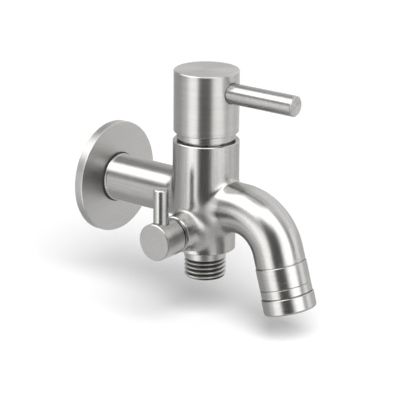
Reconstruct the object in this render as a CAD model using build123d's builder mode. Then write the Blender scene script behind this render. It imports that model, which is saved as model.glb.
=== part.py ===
from build123d import *
from math import asin, cos, degrees, floor, radians, sin
import os

# Wall-mounted bib tap in brushed stainless steel. A quarter-turn handle on top
# opens the curved spout, and a small quarter-turn knob on the side opens a
# threaded hose outlet below. Millimetres, Z up, spout towards -Y. The origin is
# on the inlet axis where the wall flange meets the wall.

# Body casting, outside
inlet_to_barrel = 61.5      # wall to the axis of the upright barrel
barrel_r = 16.5
barrel_top = 30.5
waist_top = -6.0            # the barrel narrows from here
waist_length = 14.0
lower_r = 15.0
body_bottom = -25.5
arm_shoulder = 1.42         # arm's radius beyond the inlet thread's
arm_chamfer = 0.7
arm_blend = 2.0
edge_break = 0.3            # small chamfer on turned edges

# Spout centre line: a level run, a bend, then a short straight tail
spout_z = -1.0
spout_r = 12.4
spout_run = 22.2
spout_bend_r = 23.6
spout_turn = 74.0
spout_tail = 6.0
spout_blend = 5.0

# Wall flange and inlet thread (G 1/2: 20.955 mm across, 14 threads to the inch)
flange_r = 28.5
flange_t = 4.6
flange_plate = 2.0
flange_rim = 2.2
flange_hub = 4.0
flange_chamfer = 0.6
flange_seal_t = 0.5
flange_cord = 1.5           # section of the O-ring in the flange bore
thread_r = 20.955 / 2
thread_pitch = 25.4 / 14
thread_neck_step = 0.28     # plain neck below the thread's crest
thread_lead = 0.9           # chamfer at the tip of a male thread
inlet_thread_length = 15.0
inlet_land = 0.6            # plain crest before the first groove
flange_bore_gap = 0.3

# Waterways in the casting
inlet_bore_r = 7.2
supply_bore_r = 4.2         # sloping way from the arm down to the supply well
supply_slope_start = -3.0
supply_slope_end = -10.5
well_r = 5.0
well_floor = -17.0
web_t = 3.0                 # wall that carries the main valve seat
seat_z = 3.0
seat_hole_r = 4.6
chamber_r = 12.2
socket_r = 13.7             # threaded mouth of the barrel
socket_depth = 8.5
socket_chamfer = 0.7
spout_bore_r = 10.0
spout_bore_lap = 1.0        # the bore starts this far inside the chamber wall
spout_socket_r = 11.0
spout_socket_depth = 5.5

# Fits
fit_gap = 0.05              # screwed or pushed together
run_gap = 0.05              # turns inside
face_gap = 0.3              # visible gap between a handle and what it turns over
seal_film = 0.03            # O-ring to the bore that it slides in
groove_side = 0.1           # O-ring groove wider than its cord, each side
stroke = 90.0               # degrees that either handle turns from shut to open
port_land = 3.5             # degrees of overlap that close a ceramic disc's port
stop_clearance = 1.8        # degrees left between a valve's foot and its stop

# Lower hose outlet
nipple_length = 14.8
nipple_land = 4.3           # plain part above the thread
nipple_bore_r = 7.2
nipple_socket_r = 9.5
nipple_socket_depth = 3.5
nipple_washer_t = 1.0
pocket_r = 7.5
pocket_depth = 1.0
drop_r = 2.4                # sloping way from the side valve to the outlet
drop_inset = 3.5

# Main valve, measured up from its seat
headwork_r = 9.6
headwork_lift = 0.4         # bottom edge above the seat
headwork_flange_r = 13.3
headwork_flange_t = 2.5
headwork_neck_r = 7.0
neck_setback = 0.7          # neck top below the ring nut's top
neck_gap = 0.2
plug_length = 3.5
plug_cord = 1.25
disc_chamber_r = 8.0
seal_t = 2.0
seal_width = 3.0
disc_t = 2.5
disc_r = 7.7
key_width = 3.0             # lugs that hold the fixed disc
key_reach = 1.0
port_r = 4.2
port_width = 3.6
foot_t = 3.0
foot_r = 7.6
foot_width = 5.0
tab_width = 3.0
tab_depth = 2.0
tab_reach = 1.3
thrust_t = 0.5
spindle_r = 3.95
spindle_cord = 1.0
spindle_ring_setback = 2.5  # upper O-ring below the foot of the neck
spindle_ring_step = 4.0
clip_t = 0.7
clip_r = 6.0
clip_groove = 0.6
clip_mouth = 3.0
clip_lift = 0.1
spline_teeth = 20
spline_depth = 0.35
spline_length = 10.0
spline_step = 0.1           # spline smaller than the spindle
stop_inner_r = 6.2
window_width = 8.0
window_angle = 112.0

# Ring nut between barrel and handle
bonnet_r = 14.6
shadow_gap = 1.05           # ring nut's skirt above the barrel rim
bonnet_height = 3.15
bonnet_wall = 2.6

# Main handle
handle_r = 16.2
handle_height = 30.8
handle_edge = 0.5
handle_cavity_r = 9.0
handle_cavity_depth = 2.5
lever_r = 5.1
lever_reach = 53.5          # from the barrel axis
lever_height = 21.2         # above the underside of the handle
lever_seat = 13.0           # bottom of the lever's socket, from the barrel axis
lever_stud_r = 3.0
lever_stud_length = 7.0
lever_edge = 0.5
socket_clearance = 0.1      # lever or stem in its counterbore
tap_over = 0.5              # a blind tapped hole deeper than its stud
screw_r = 2.5
screw_height = 6.0
screw_setback = 4.25        # outer end below the head's side
screw_key = 2.5

# Side valve, measured out from the barrel axis along its boss
side_z = -12.9
boss_r = 9.2
boss_reach = 25.2
boss_blend = 4.0
boss_chamfer = 0.5
side_seat = 7.5
side_bore_r = 7.2
side_port_r = 2.8
side_headwork_r = 6.4
side_lift = 0.4
side_plug_length = 8.2
side_plug_cord = 1.1
side_ring_setback = 2.0     # O-ring from the plug's inner end
side_flange_r = 8.4
side_flange_t = 0.8
side_neck_r = 4.6
side_neck_length = 2.4
side_chamber_r = 5.5
side_key_width = 2.0
side_key_reach = 0.6
side_seal_t = 1.5
side_seal_width = 2.0
side_disc_t = 2.0
side_disc_r = 5.25
side_port_centre_r = 2.9
side_port_width = 2.2
side_foot_t = 2.0
side_foot_r = 5.2
side_foot_width = 3.6
side_tab_width = 2.0
side_tab_depth = 1.6
side_tab_reach = 0.9
side_thrust_t = 0.4
side_spindle_r = 2.95
side_cord = 0.9
side_clip_t = 0.6
side_clip_r = 4.3
side_clip_groove = 0.5
side_clip_mouth = 2.0
side_spline_teeth = 16
side_spline_depth = 0.3
side_spline_length = 2.7
side_stop_inner_r = 4.3
side_window_width = 5.0

# Side knob
knob_r = 9.2
knob_gap = 2.1              # boss end to the back of the knob
knob_length = 13.4
knob_edge = 0.5
knob_cavity_r = 5.4
knob_cavity_depth = 3.0
stem_r = 3.72
stem_top = 13.15
stem_from_back = 7.9
stem_seat = 6.8             # bottom of the stem's socket, above the knob axis
stem_stud_r = 2.0
stem_stud_length = 2.8
stem_edge = 0.5
knob_screw_r = 1.25
knob_screw_from_back = 4.6
knob_screw_setback = 1.45
knob_screw_key = 1.3

# Spout end, measured from the end of the spout tube
sleeve_r = 12.7
sleeve_length = 15.65
sleeve_line_at = 11.2
sleeve_line = 0.35
sleeve_bore_r = 9.0
sleeve_cord = 1.2
sleeve_male_r = 11.0
sleeve_male_length = 3.3
collar_r = 13.15
collar_gap = 0.3
collar_edge = 1.3
collar_lip = 1.2
collar_mouth_r = 9.6
insert_t = 2.3
insert_nose = 0.8
insert_hole_r = 0.75
insert_rings = 3
insert_ring_step = 2.5
first_ring_holes = 6        # each further ring has as many more
mesh_t = 0.3
mesh_hole_r = 0.7
mesh_rings = 4
mesh_ring_step = 2.0
washer_t = 1.2
washer_hole_r = 8.2

thread_depth = 0.640327 * thread_pitch
thread_flat = thread_pitch / 6

barrel_y = -inlet_to_barrel
barrel_axis = Axis((0, barrel_y, 0), (0, 0, 1))
barrel_section = Plane(origin=(0, barrel_y, 0), x_dir=(1, 0, 0), z_dir=(0, -1, 0))
inlet_axis = Axis((0, 0, 0), (0, 1, 0))
inlet_section = Plane(origin=(0, 0, 0), x_dir=(0, 0, 1), z_dir=(-1, 0, 0))
side_origin = (0, barrel_y, side_z)
side_axis = Axis(side_origin, (-1, 0, 0))
side_section = Plane(origin=side_origin, x_dir=(0, 0, 1), z_dir=(0, -1, 0))


def level(height):
    """Plane across the barrel axis at a height above the inlet axis."""
    return Plane(origin=(0, barrel_y, height))


def out_along_boss(distance):
    """Plane across the side valve's axis, facing out of the boss, its Y up."""
    return Plane(origin=(-distance, barrel_y, side_z), x_dir=(0, -1, 0), z_dir=(-1, 0, 0))


def spout_point(angle):
    """Point of the spout's centre line after the bend has turned by an angle."""
    turn = radians(angle)
    return Vector(
        0,
        barrel_y - spout_run - spout_bend_r * sin(turn),
        spout_z - spout_bend_r * (1 - cos(turn)),
    )


spout_heading = Vector(0, -cos(radians(spout_turn)), -sin(radians(spout_turn)))
spout_end = spout_point(spout_turn) + spout_heading * spout_tail
outlet_axis = Axis(spout_end, spout_heading)
outlet_section = Plane(
    origin=spout_end,
    x_dir=(1, 0, 0),
    z_dir=(0, sin(radians(spout_turn)), -cos(radians(spout_turn))),
)
outlet_across = Plane(origin=spout_end, x_dir=(1, 0, 0), z_dir=spout_heading)


def thread_sketch(section, start, length, towards=1):
    """V grooves side by side along a thread, its flanks and flats to the standard."""
    turns = floor(length / thread_pitch)
    half_top = (thread_pitch - thread_flat) / 2
    centres = [start + towards * (turn + 0.5) * thread_pitch for turn in range(turns)]
    with BuildSketch(section) as grooves:
        with Locations(*[(thread_r, centre) for centre in centres]):
            Polygon(
                (thread_depth, -half_top),
                (0, -half_top),
                (-thread_depth, -thread_flat / 2),
                (-thread_depth, thread_flat / 2),
                (0, half_top),
                (thread_depth, half_top),
                align=None,
            )
    return grooves.sketch


def spline_sketch(plane, radius, teeth, depth):
    """Star outline of a spline, its tips on the radius."""
    tips = [
        (
            (radius - depth * (step % 2)) * cos(radians(180 / teeth * step)),
            (radius - depth * (step % 2)) * sin(radians(180 / teeth * step)),
        )
        for step in range(2 * teeth)
    ]
    with BuildSketch(plane) as star:
        Polygon(*tips, align=None)
    return star.sketch


def kidney_ports(plane, centre_r, width, half_angle, facing):
    """Two kidney-shaped ports opposite each other."""
    with BuildSketch(plane) as ports:
        for turn in (facing, facing + 180):
            path = CenterArc((0, 0), centre_r, turn - half_angle, 2 * half_angle, mode=Mode.PRIVATE)
            SlotArc(arc=path, height=width)
    return ports.sketch


def stop_sectors(plane, outer_r, inner_r, half_angle, facing):
    """Two thick arcs opposite each other, which stop a turning bar."""
    with BuildSketch(plane) as sectors:
        for turn in (facing - half_angle, facing + 180 - half_angle):
            with BuildLine():
                outer = CenterArc((0, 0), outer_r, turn, 2 * half_angle)
                inner = CenterArc((0, 0), inner_r, turn, 2 * half_angle)
                Line(outer @ 0, inner @ 0)
                Line(outer @ 1, inner @ 1)
            make_face()
    return sectors.sketch


def clear_of_port(width, centre_r):
    """Half angle of a kidney port's centre line that a quarter turn just closes."""
    return stroke / 2 - port_land - degrees(asin(width / 2 / centre_r))


def clear_of_bar(width, inner_r):
    """Half angle of a stop from this radius out, between the ends of a bar's quarter turn."""
    return stroke / 2 - stop_clearance - degrees(asin(width / 2 / inner_r))


# Heights in the main valve
socket_floor = barrel_top - socket_depth
plug_bottom = socket_floor - plug_length
headwork_bottom = seat_z + headwork_lift
disc_seat_z = seat_z + seal_t
moving_disc_z = disc_seat_z + disc_t
foot_z = moving_disc_z + disc_t
thrust_z = foot_z + foot_t
chamber_top = thrust_z + thrust_t
neck_bottom = socket_floor + headwork_flange_t
skirt_bottom = barrel_top + shadow_gap
skirt_top = skirt_bottom + bonnet_height
neck_top = skirt_top - neck_setback
clip_z = neck_top + clip_lift
handle_bottom = skirt_top + face_gap
handle_top = handle_bottom + handle_height
spline_bottom = handle_bottom + handle_cavity_depth
lever_z = handle_bottom + lever_height
screw_z = spline_bottom + screw_height

# Distances along the side valve
side_disc_at = side_seat + side_seal_t
side_moving_at = side_disc_at + side_disc_t
side_foot_at = side_moving_at + side_disc_t
side_thrust_at = side_foot_at + side_foot_t
side_chamber_end = side_thrust_at + side_thrust_t
side_plug_at = boss_reach - side_plug_length
side_flange_end = boss_reach + side_flange_t
side_neck_end = side_flange_end + side_neck_length
knob_back = boss_reach + knob_gap
knob_face = knob_back + knob_length
side_spline_at = knob_back + knob_cavity_depth
side_clip_at = side_neck_end + clip_lift
stem_at = knob_back + stem_from_back
knob_screw_at = knob_back + knob_screw_from_back

# Distances along the spout's end
male_end = sleeve_length + sleeve_male_length
mesh_at = male_end + washer_t
insert_at = mesh_at + mesh_t
lip_at = insert_at + insert_t
collar_end = lip_at + collar_lip

arm_r = thread_r + arm_shoulder
arm_end = flange_t + flange_seal_t
pocket_top = body_bottom + nipple_socket_depth + pocket_depth
shaft_bore_r = spindle_r + run_gap
side_shaft_bore_r = side_spindle_r + run_gap
plug_r = chamber_r - fit_gap
side_plug_r = side_bore_r - fit_gap
sleeve_spigot_r = spout_socket_r - fit_gap
flange_bore_r = thread_r + flange_bore_gap
thread_neck_r = thread_r - thread_neck_step


# Body casting: barrel, arm, spout and side boss in one piece
with BuildPart() as tap_body:
    waist_middle = ((barrel_r + lower_r) / 2, waist_top - waist_length / 2)
    waist_bottom = (lower_r, waist_top - waist_length)
    with BuildSketch(barrel_section):
        with BuildLine():
            Line((0, body_bottom), (0, barrel_top))
            Line((0, barrel_top), (barrel_r, barrel_top))
            Line((barrel_r, barrel_top), (barrel_r, waist_top))
            shoulder = TangentArc((barrel_r, waist_top), waist_middle, tangent=(0, -1))
            TangentArc(waist_middle, waist_bottom, tangent=shoulder % 1)
            Line(waist_bottom, (lower_r, body_bottom))
            Line((lower_r, body_bottom), (0, body_bottom))
        make_face()
    revolve(axis=barrel_axis)
    chamfer(tap_body.edges().filter_by(GeomType.CIRCLE).group_by(Axis.Z)[-1], 2 * edge_break)
    chamfer(tap_body.edges().filter_by(GeomType.CIRCLE).group_by(Axis.Z)[0], edge_break)

    # Inlet arm with its shoulder against the flange
    with BuildSketch(Plane(origin=(0, barrel_y, 0), x_dir=(1, 0, 0), z_dir=(0, 1, 0))):
        Circle(arm_r)
    extrude(amount=inlet_to_barrel - arm_end)
    arm_joint = tap_body.edges(Select.LAST).filter_by(
        lambda edge: edge.geom_type not in (GeomType.CIRCLE, GeomType.LINE)
    )
    fillet(arm_joint, arm_blend)
    chamfer(tap_body.faces().sort_by(Axis.Y)[-1].edges(), arm_chamfer)

    # Side boss
    with BuildSketch(out_along_boss(0)):
        Circle(boss_r)
    extrude(amount=boss_reach)
    boss_joint = tap_body.edges(Select.LAST).filter_by(
        lambda edge: edge.geom_type not in (GeomType.CIRCLE, GeomType.LINE)
    )
    fillet(boss_joint, boss_blend)
    chamfer(tap_body.faces().sort_by(Axis.X)[0].edges(), boss_chamfer)

    # Spout tube
    with BuildLine() as spout_path:
        Line((0, barrel_y, spout_z), spout_point(0))
        TangentArc(spout_point(0), spout_point(spout_turn), tangent=(0, -1, 0))
        Line(spout_point(spout_turn), spout_end)
    with BuildSketch(Plane(origin=(0, barrel_y, spout_z), x_dir=(1, 0, 0), z_dir=(0, -1, 0))):
        Circle(spout_r)
    sweep(path=spout_path.line)
    spout_joint = tap_body.edges(Select.LAST).filter_by(
        lambda edge: edge.geom_type not in (GeomType.CIRCLE, GeomType.LINE)
    )
    fillet(spout_joint, spout_blend)

    # Inlet thread beyond the shoulder, plain where it passes the flange
    with BuildSketch(inlet_section):
        with BuildLine():
            Polyline(
                (0, -arm_end),
                (thread_neck_r, -arm_end),
                (thread_neck_r, 0),
                (thread_r, 0),
                (thread_r, inlet_thread_length - thread_lead),
                (thread_r - thread_lead, inlet_thread_length),
                (0, inlet_thread_length),
                close=True,
            )
        make_face()
    revolve(axis=inlet_axis)
    inlet_grooves = thread_sketch(inlet_section, inlet_land, inlet_thread_length - inlet_land)
    revolve(inlet_grooves, axis=inlet_axis, mode=Mode.SUBTRACT)

    # Threaded mouth, valve chamber, seat and supply well inside the barrel
    with BuildSketch(barrel_section):
        with BuildLine():
            Polyline(
                (0, well_floor),
                (well_r, well_floor),
                (well_r, seat_z - web_t),
                (seat_hole_r, seat_z - web_t),
                (seat_hole_r, seat_z),
                (chamber_r, seat_z),
                (chamber_r, socket_floor),
                (socket_r, socket_floor),
                (socket_r, barrel_top - socket_chamfer),
                (socket_r + socket_chamfer, barrel_top),
                (0, barrel_top),
                close=True,
            )
        make_face()
    revolve(axis=barrel_axis, mode=Mode.SUBTRACT)

    # Bore of the arm, and the sloping way under the chamber to the well
    with BuildSketch(Plane(origin=(0, inlet_thread_length, 0), z_dir=(0, -1, 0))):
        Circle(inlet_bore_r)
    extrude(amount=inlet_thread_length + inlet_to_barrel - barrel_r, mode=Mode.SUBTRACT)
    supply_start = Vector(0, barrel_y + barrel_r, supply_slope_start)
    supply_end = Vector(0, barrel_y, supply_slope_end)
    with BuildSketch(Plane(origin=supply_start, z_dir=supply_end - supply_start)):
        Circle(supply_bore_r)
    extrude(amount=(supply_end - supply_start).length, mode=Mode.SUBTRACT)

    # Bore of the spout from the chamber's front, and the socket at its end
    bore_start = (0, barrel_y - chamber_r + spout_bore_lap, spout_z)
    with BuildLine() as bore_path:
        Line(bore_start, spout_point(0))
        TangentArc(spout_point(0), spout_point(spout_turn), tangent=(0, -1, 0))
        Line(spout_point(spout_turn), spout_end)
    with BuildSketch(Plane(origin=bore_start, x_dir=(1, 0, 0), z_dir=(0, -1, 0))):
        Circle(spout_bore_r)
    sweep(path=bore_path.line, mode=Mode.SUBTRACT)
    with BuildSketch(outlet_across):
        Circle(spout_socket_r)
    extrude(amount=-spout_socket_depth, mode=Mode.SUBTRACT)

    # Side valve's bore, its port from the well, and the way down to the outlet
    with BuildSketch(out_along_boss(side_seat)):
        Circle(side_bore_r)
    extrude(amount=boss_reach - side_seat, mode=Mode.SUBTRACT)
    with BuildSketch(out_along_boss(0)):
        Circle(side_port_r)
    extrude(amount=side_seat, mode=Mode.SUBTRACT)
    with BuildSketch(barrel_section):
        with BuildLine():
            Polyline(
                (0, body_bottom),
                (nipple_socket_r, body_bottom),
                (nipple_socket_r, body_bottom + nipple_socket_depth),
                (pocket_r, body_bottom + nipple_socket_depth),
                (pocket_r, pocket_top),
                (0, pocket_top),
                close=True,
            )
        make_face()
    revolve(axis=barrel_axis, mode=Mode.SUBTRACT)
    drop_start = Vector(-side_seat - drop_inset, barrel_y, side_z - side_headwork_r + drop_r)
    drop_end = Vector(-pocket_r + drop_r, barrel_y, pocket_top - pocket_depth / 2)
    with BuildSketch(Plane(origin=drop_start, z_dir=drop_end - drop_start)):
        Circle(drop_r)
    extrude(amount=(drop_end - drop_start).length, mode=Mode.SUBTRACT)
tap_body.part.label = "tap_body"

# Wall flange: a turned disc, hollow behind, with a hub round the inlet
with BuildPart() as wall_flange:
    hub_r = flange_bore_r + flange_hub
    hollow_y = flange_plate - flange_t
    with BuildSketch(inlet_section):
        with BuildLine():
            Polyline(
                (flange_bore_r, -flange_t),
                (flange_r - flange_chamfer, -flange_t),
                (flange_r, -flange_t + flange_chamfer),
                (flange_r, 0),
                (flange_r - flange_rim, 0),
                (flange_r - flange_rim, hollow_y),
                (hub_r, hollow_y),
                (hub_r, 0),
                (flange_bore_r, 0),
                close=True,
            )
        make_face()
    revolve(axis=inlet_axis)
    flange_groove_y = hollow_y / 2
    flange_ring_r = thread_neck_r + seal_film + flange_cord / 2
    with BuildSketch(inlet_section):
        with Locations((flange_ring_r, flange_groove_y)):
            Rectangle(flange_cord, flange_cord + 2 * groove_side)
    revolve(axis=inlet_axis, mode=Mode.SUBTRACT)
wall_flange.part.label = "wall_flange"

# O-ring in the flange bore, which holds the flange on the inlet
with BuildPart() as flange_oring:
    with BuildSketch(inlet_section):
        with Locations((flange_ring_r, flange_groove_y)):
            Circle(flange_cord / 2)
    revolve(axis=inlet_axis)
flange_oring.part.label = "flange_oring"

# Thin seal between the arm's shoulder and the flange
with BuildPart() as flange_seal:
    with BuildSketch(Plane(origin=(0, -arm_end, 0), z_dir=(0, 1, 0))):
        Circle(arm_r - arm_chamfer + socket_clearance)
        Circle(thread_neck_r + fit_gap, mode=Mode.SUBTRACT)
    extrude(amount=flange_seal_t)
flange_seal.part.label = "flange_seal"

# Threaded nipple of the hose outlet
with BuildPart() as outlet_nipple:
    nipple_end = body_bottom - nipple_length
    spigot_top = body_bottom + nipple_socket_depth - nipple_washer_t
    with BuildSketch(barrel_section):
        with BuildLine():
            Polyline(
                (nipple_bore_r, spigot_top),
                (nipple_socket_r - fit_gap, spigot_top),
                (nipple_socket_r - fit_gap, body_bottom),
                (thread_r, body_bottom),
                (thread_r, nipple_end + thread_lead),
                (thread_r - thread_lead, nipple_end),
                (nipple_bore_r, nipple_end),
                close=True,
            )
        make_face()
    revolve(axis=barrel_axis)
    nipple_grooves = thread_sketch(
        barrel_section, body_bottom - nipple_land, nipple_length - nipple_land, towards=-1
    )
    revolve(nipple_grooves, axis=barrel_axis, mode=Mode.SUBTRACT)
outlet_nipple.part.label = "outlet_nipple"

# Washer above the nipple's spigot
with BuildPart() as nipple_washer:
    with BuildSketch(level(spigot_top)):
        Circle(nipple_socket_r - fit_gap)
        Circle(pocket_r, mode=Mode.SUBTRACT)
    extrude(amount=nipple_washer_t)
nipple_washer.part.label = "nipple_washer"

# End sleeve of the spout, its spigot pushed up into the tube
with BuildPart() as spout_sleeve:
    with BuildSketch(outlet_section):
        with BuildLine():
            Polyline(
                (sleeve_bore_r, -spout_socket_depth + face_gap),
                (sleeve_spigot_r, -spout_socket_depth + face_gap),
                (sleeve_spigot_r, 0),
                (sleeve_r - edge_break, 0),
                (sleeve_r, edge_break),
                (sleeve_r, sleeve_line_at - sleeve_line),
                (sleeve_r - sleeve_line, sleeve_line_at),
                (sleeve_r, sleeve_line_at + sleeve_line),
                (sleeve_r, sleeve_length - sleeve_line),
                (sleeve_r - sleeve_line, sleeve_length),
                (sleeve_male_r, sleeve_length),
                (sleeve_male_r, male_end),
                (sleeve_bore_r, male_end),
                close=True,
            )
        make_face()
    revolve(axis=outlet_axis)
    sleeve_groove_at = (face_gap - spout_socket_depth) / 2
    with BuildSketch(outlet_section):
        with Locations((spout_socket_r - seal_film - sleeve_cord / 2, sleeve_groove_at)):
            Rectangle(sleeve_cord, sleeve_cord + 2 * groove_side)
    revolve(axis=outlet_axis, mode=Mode.SUBTRACT)
spout_sleeve.part.label = "spout_sleeve"

with BuildPart() as sleeve_oring:
    with BuildSketch(outlet_section):
        with Locations((spout_socket_r - seal_film - sleeve_cord / 2, sleeve_groove_at)):
            Circle(sleeve_cord / 2)
    revolve(axis=outlet_axis)
sleeve_oring.part.label = "sleeve_oring"

# Screwed collar that holds the aerator against the sleeve
with BuildPart() as aerator_collar:
    collar_start = sleeve_length + collar_gap
    with BuildSketch(outlet_section):
        with BuildLine():
            Polyline(
                (sleeve_male_r + fit_gap, collar_start),
                (collar_r - edge_break, collar_start),
                (collar_r, collar_start + edge_break),
                (collar_r, collar_end),
                (collar_mouth_r, collar_end),
                (collar_mouth_r, lip_at),
                (sleeve_male_r + fit_gap, lip_at),
                close=True,
            )
        make_face()
    revolve(axis=outlet_axis)
    outer_rim = aerator_collar.edges().filter_by(GeomType.CIRCLE).group_by(
        lambda edge: (edge.arc_center - spout_end).dot(spout_heading)
    )[-1]
    fillet(outer_rim.sort_by(SortBy.RADIUS)[-1], collar_edge)
aerator_collar.part.label = "aerator_collar"

# Rubber washer, gauze and moulded jet insert of the aerator
with BuildPart() as aerator_washer:
    with BuildSketch(outlet_across.offset(male_end)):
        Circle(sleeve_male_r - fit_gap)
        Circle(washer_hole_r, mode=Mode.SUBTRACT)
    extrude(amount=washer_t)
aerator_washer.part.label = "aerator_washer"

with BuildPart() as aerator_gauze:
    with BuildSketch(outlet_across.offset(mesh_at)):
        Circle(sleeve_male_r - fit_gap)
        Circle(mesh_hole_r, mode=Mode.SUBTRACT)
        for ring in range(1, mesh_rings + 1):
            with PolarLocations(ring * mesh_ring_step, first_ring_holes * ring):
                Circle(mesh_hole_r, mode=Mode.SUBTRACT)
    extrude(amount=mesh_t)
aerator_gauze.part.label = "aerator_gauze"

with BuildPart() as aerator_insert:
    with BuildSketch(outlet_across.offset(insert_at)):
        Circle(sleeve_male_r - fit_gap)
    extrude(amount=insert_t)
    with BuildSketch(outlet_across.offset(lip_at)):
        Circle(collar_mouth_r - fit_gap)
    extrude(amount=insert_nose)
    with BuildSketch(outlet_across.offset(insert_at)):
        Circle(insert_hole_r)
        for ring in range(1, insert_rings + 1):
            with PolarLocations(ring * insert_ring_step, first_ring_holes * ring):
                Circle(insert_hole_r)
    extrude(amount=insert_t + insert_nose, mode=Mode.SUBTRACT)
aerator_insert.part.label = "aerator_insert"

# Main headwork: brass housing of the quarter-turn valve
with BuildPart() as headwork:
    with BuildSketch(barrel_section):
        with BuildLine():
            Polyline(
                (disc_chamber_r, headwork_bottom),
                (headwork_r, headwork_bottom),
                (headwork_r, plug_bottom),
                (plug_r, plug_bottom),
                (plug_r, socket_floor),
                (headwork_flange_r, socket_floor),
                (headwork_flange_r, neck_bottom),
                (headwork_neck_r, neck_bottom),
                (headwork_neck_r, neck_top),
                (shaft_bore_r, neck_top),
                (shaft_bore_r, chamber_top),
                (disc_chamber_r, chamber_top),
                close=True,
            )
        make_face()
    revolve(axis=barrel_axis)
    plug_middle = socket_floor - plug_length / 2
    with BuildSketch(barrel_section):
        with Locations((chamber_r - seal_film - plug_cord / 2, plug_middle)):
            Rectangle(plug_cord, plug_cord + 2 * groove_side)
    revolve(axis=barrel_axis, mode=Mode.SUBTRACT)
    with BuildSketch(level(headwork_bottom)):
        Rectangle(4 * headwork_r, key_width + 2 * fit_gap)
    extrude(amount=moving_disc_z - headwork_bottom, mode=Mode.SUBTRACT)
    with BuildSketch(level(foot_z)):
        Rectangle(4 * headwork_r, window_width, rotation=window_angle)
    extrude(amount=foot_t, mode=Mode.SUBTRACT)
    stops = stop_sectors(
        level(foot_z),
        disc_chamber_r,
        stop_inner_r,
        clear_of_bar(foot_width, stop_inner_r),
        stroke / 2,
    )
    extrude(stops, amount=chamber_top - foot_z)
headwork.part.label = "headwork"

with BuildPart() as headwork_oring:
    with BuildSketch(barrel_section):
        with Locations((chamber_r - seal_film - plug_cord / 2, plug_middle)):
            Circle(plug_cord / 2)
    revolve(axis=barrel_axis)
headwork_oring.part.label = "headwork_oring"

with BuildPart() as seat_seal:
    with BuildSketch(level(seat_z)):
        Circle(disc_chamber_r - fit_gap)
        Circle(disc_chamber_r - fit_gap - seal_width, mode=Mode.SUBTRACT)
    extrude(amount=seal_t)
seat_seal.part.label = "seat_seal"

# Ceramic discs: the ports of the fixed one lie a quarter turn from the moving one's
with BuildPart() as fixed_disc:
    with BuildSketch(level(disc_seat_z)):
        Circle(disc_chamber_r - fit_gap)
        Rectangle(2 * (disc_chamber_r + key_reach), key_width)
    extrude(amount=disc_t)
    port_turn = clear_of_port(port_width, port_r)
    fixed_ports = kidney_ports(level(disc_seat_z), port_r, port_width, port_turn, 90)
    extrude(fixed_ports, amount=disc_t, mode=Mode.SUBTRACT)
fixed_disc.part.label = "fixed_disc"

with BuildPart() as moving_disc:
    with BuildSketch(level(moving_disc_z)):
        Circle(disc_r)
        for end in (-1, 1):
            with Locations((0, end * disc_r)):
                Rectangle(tab_width + 2 * fit_gap, 2 * tab_reach, mode=Mode.SUBTRACT)
    extrude(amount=disc_t)
    moving_ports = kidney_ports(level(moving_disc_z), port_r, port_width, port_turn, 0)
    extrude(moving_ports, amount=disc_t, mode=Mode.SUBTRACT)
moving_disc.part.label = "moving_disc"

# Main spindle: a bar foot with two tabs, the shaft, and the splines for the handle
with BuildPart() as spindle:
    with BuildSketch(level(foot_z)):
        Circle(foot_r)
        Rectangle(foot_width, 2 * foot_r, mode=Mode.INTERSECT)
    extrude(amount=foot_t)
    with BuildSketch(level(foot_z)):
        Circle(foot_r)
        Rectangle(tab_width, 2 * foot_r, mode=Mode.INTERSECT)
        Rectangle(tab_width, 2 * (disc_r - tab_reach + fit_gap), mode=Mode.SUBTRACT)
    extrude(amount=-tab_depth)
    with BuildSketch(level(thrust_z)):
        Circle(spindle_r)
    extrude(amount=spline_bottom - thrust_z)
    extrude(
        spline_sketch(level(spline_bottom), spindle_r - spline_step, spline_teeth, spline_depth),
        amount=spline_length,
    )
    upper_ring_z = neck_bottom - spindle_ring_setback
    ring_heights = [upper_ring_z - spindle_ring_step, upper_ring_z]
    ring_r = shaft_bore_r - seal_film - spindle_cord / 2
    with BuildSketch(barrel_section):
        with Locations(*[(ring_r, height) for height in ring_heights]):
            Rectangle(spindle_cord, spindle_cord + 2 * groove_side)
        with Locations((spindle_r, clip_z + clip_t / 2)):
            Rectangle(2 * clip_groove, clip_t + 2 * fit_gap)
    revolve(axis=barrel_axis, mode=Mode.SUBTRACT)
spindle.part.label = "spindle"

with BuildPart() as spindle_orings:
    with BuildSketch(barrel_section):
        with Locations(*[(ring_r, height) for height in ring_heights]):
            Circle(spindle_cord / 2)
    revolve(axis=barrel_axis)
spindle_orings.part.label = "spindle_orings"

with BuildPart() as thrust_washer:
    with BuildSketch(level(thrust_z)):
        Circle(stop_inner_r - fit_gap)
        Circle(spindle_r + face_gap, mode=Mode.SUBTRACT)
    extrude(amount=thrust_t)
thrust_washer.part.label = "thrust_washer"

with BuildPart() as spindle_clip:
    with BuildSketch(level(clip_z)):
        Circle(clip_r)
        Circle(spindle_r - clip_groove + fit_gap, mode=Mode.SUBTRACT)
        with Locations((clip_r, 0)):
            Rectangle(2 * clip_r, clip_mouth, mode=Mode.SUBTRACT)
    extrude(amount=clip_t)
spindle_clip.part.label = "spindle_clip"

# Ring nut that clamps the headwork and shows between barrel and handle
with BuildPart() as bonnet_ring:
    nut_r = socket_r - fit_gap
    hole_r = headwork_neck_r + neck_gap
    with BuildSketch(barrel_section):
        with BuildLine():
            Polyline(
                (nut_r - bonnet_wall, neck_bottom),
                (nut_r, neck_bottom),
                (nut_r, skirt_bottom),
                (bonnet_r - edge_break, skirt_bottom),
                (bonnet_r, skirt_bottom + edge_break),
                (bonnet_r, skirt_top - edge_break),
                (bonnet_r - edge_break, skirt_top),
                (hole_r, skirt_top),
                (hole_r, skirt_bottom),
                (nut_r - bonnet_wall, skirt_bottom),
                close=True,
            )
        make_face()
    revolve(axis=barrel_axis)
bonnet_ring.part.label = "bonnet_ring"

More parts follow.
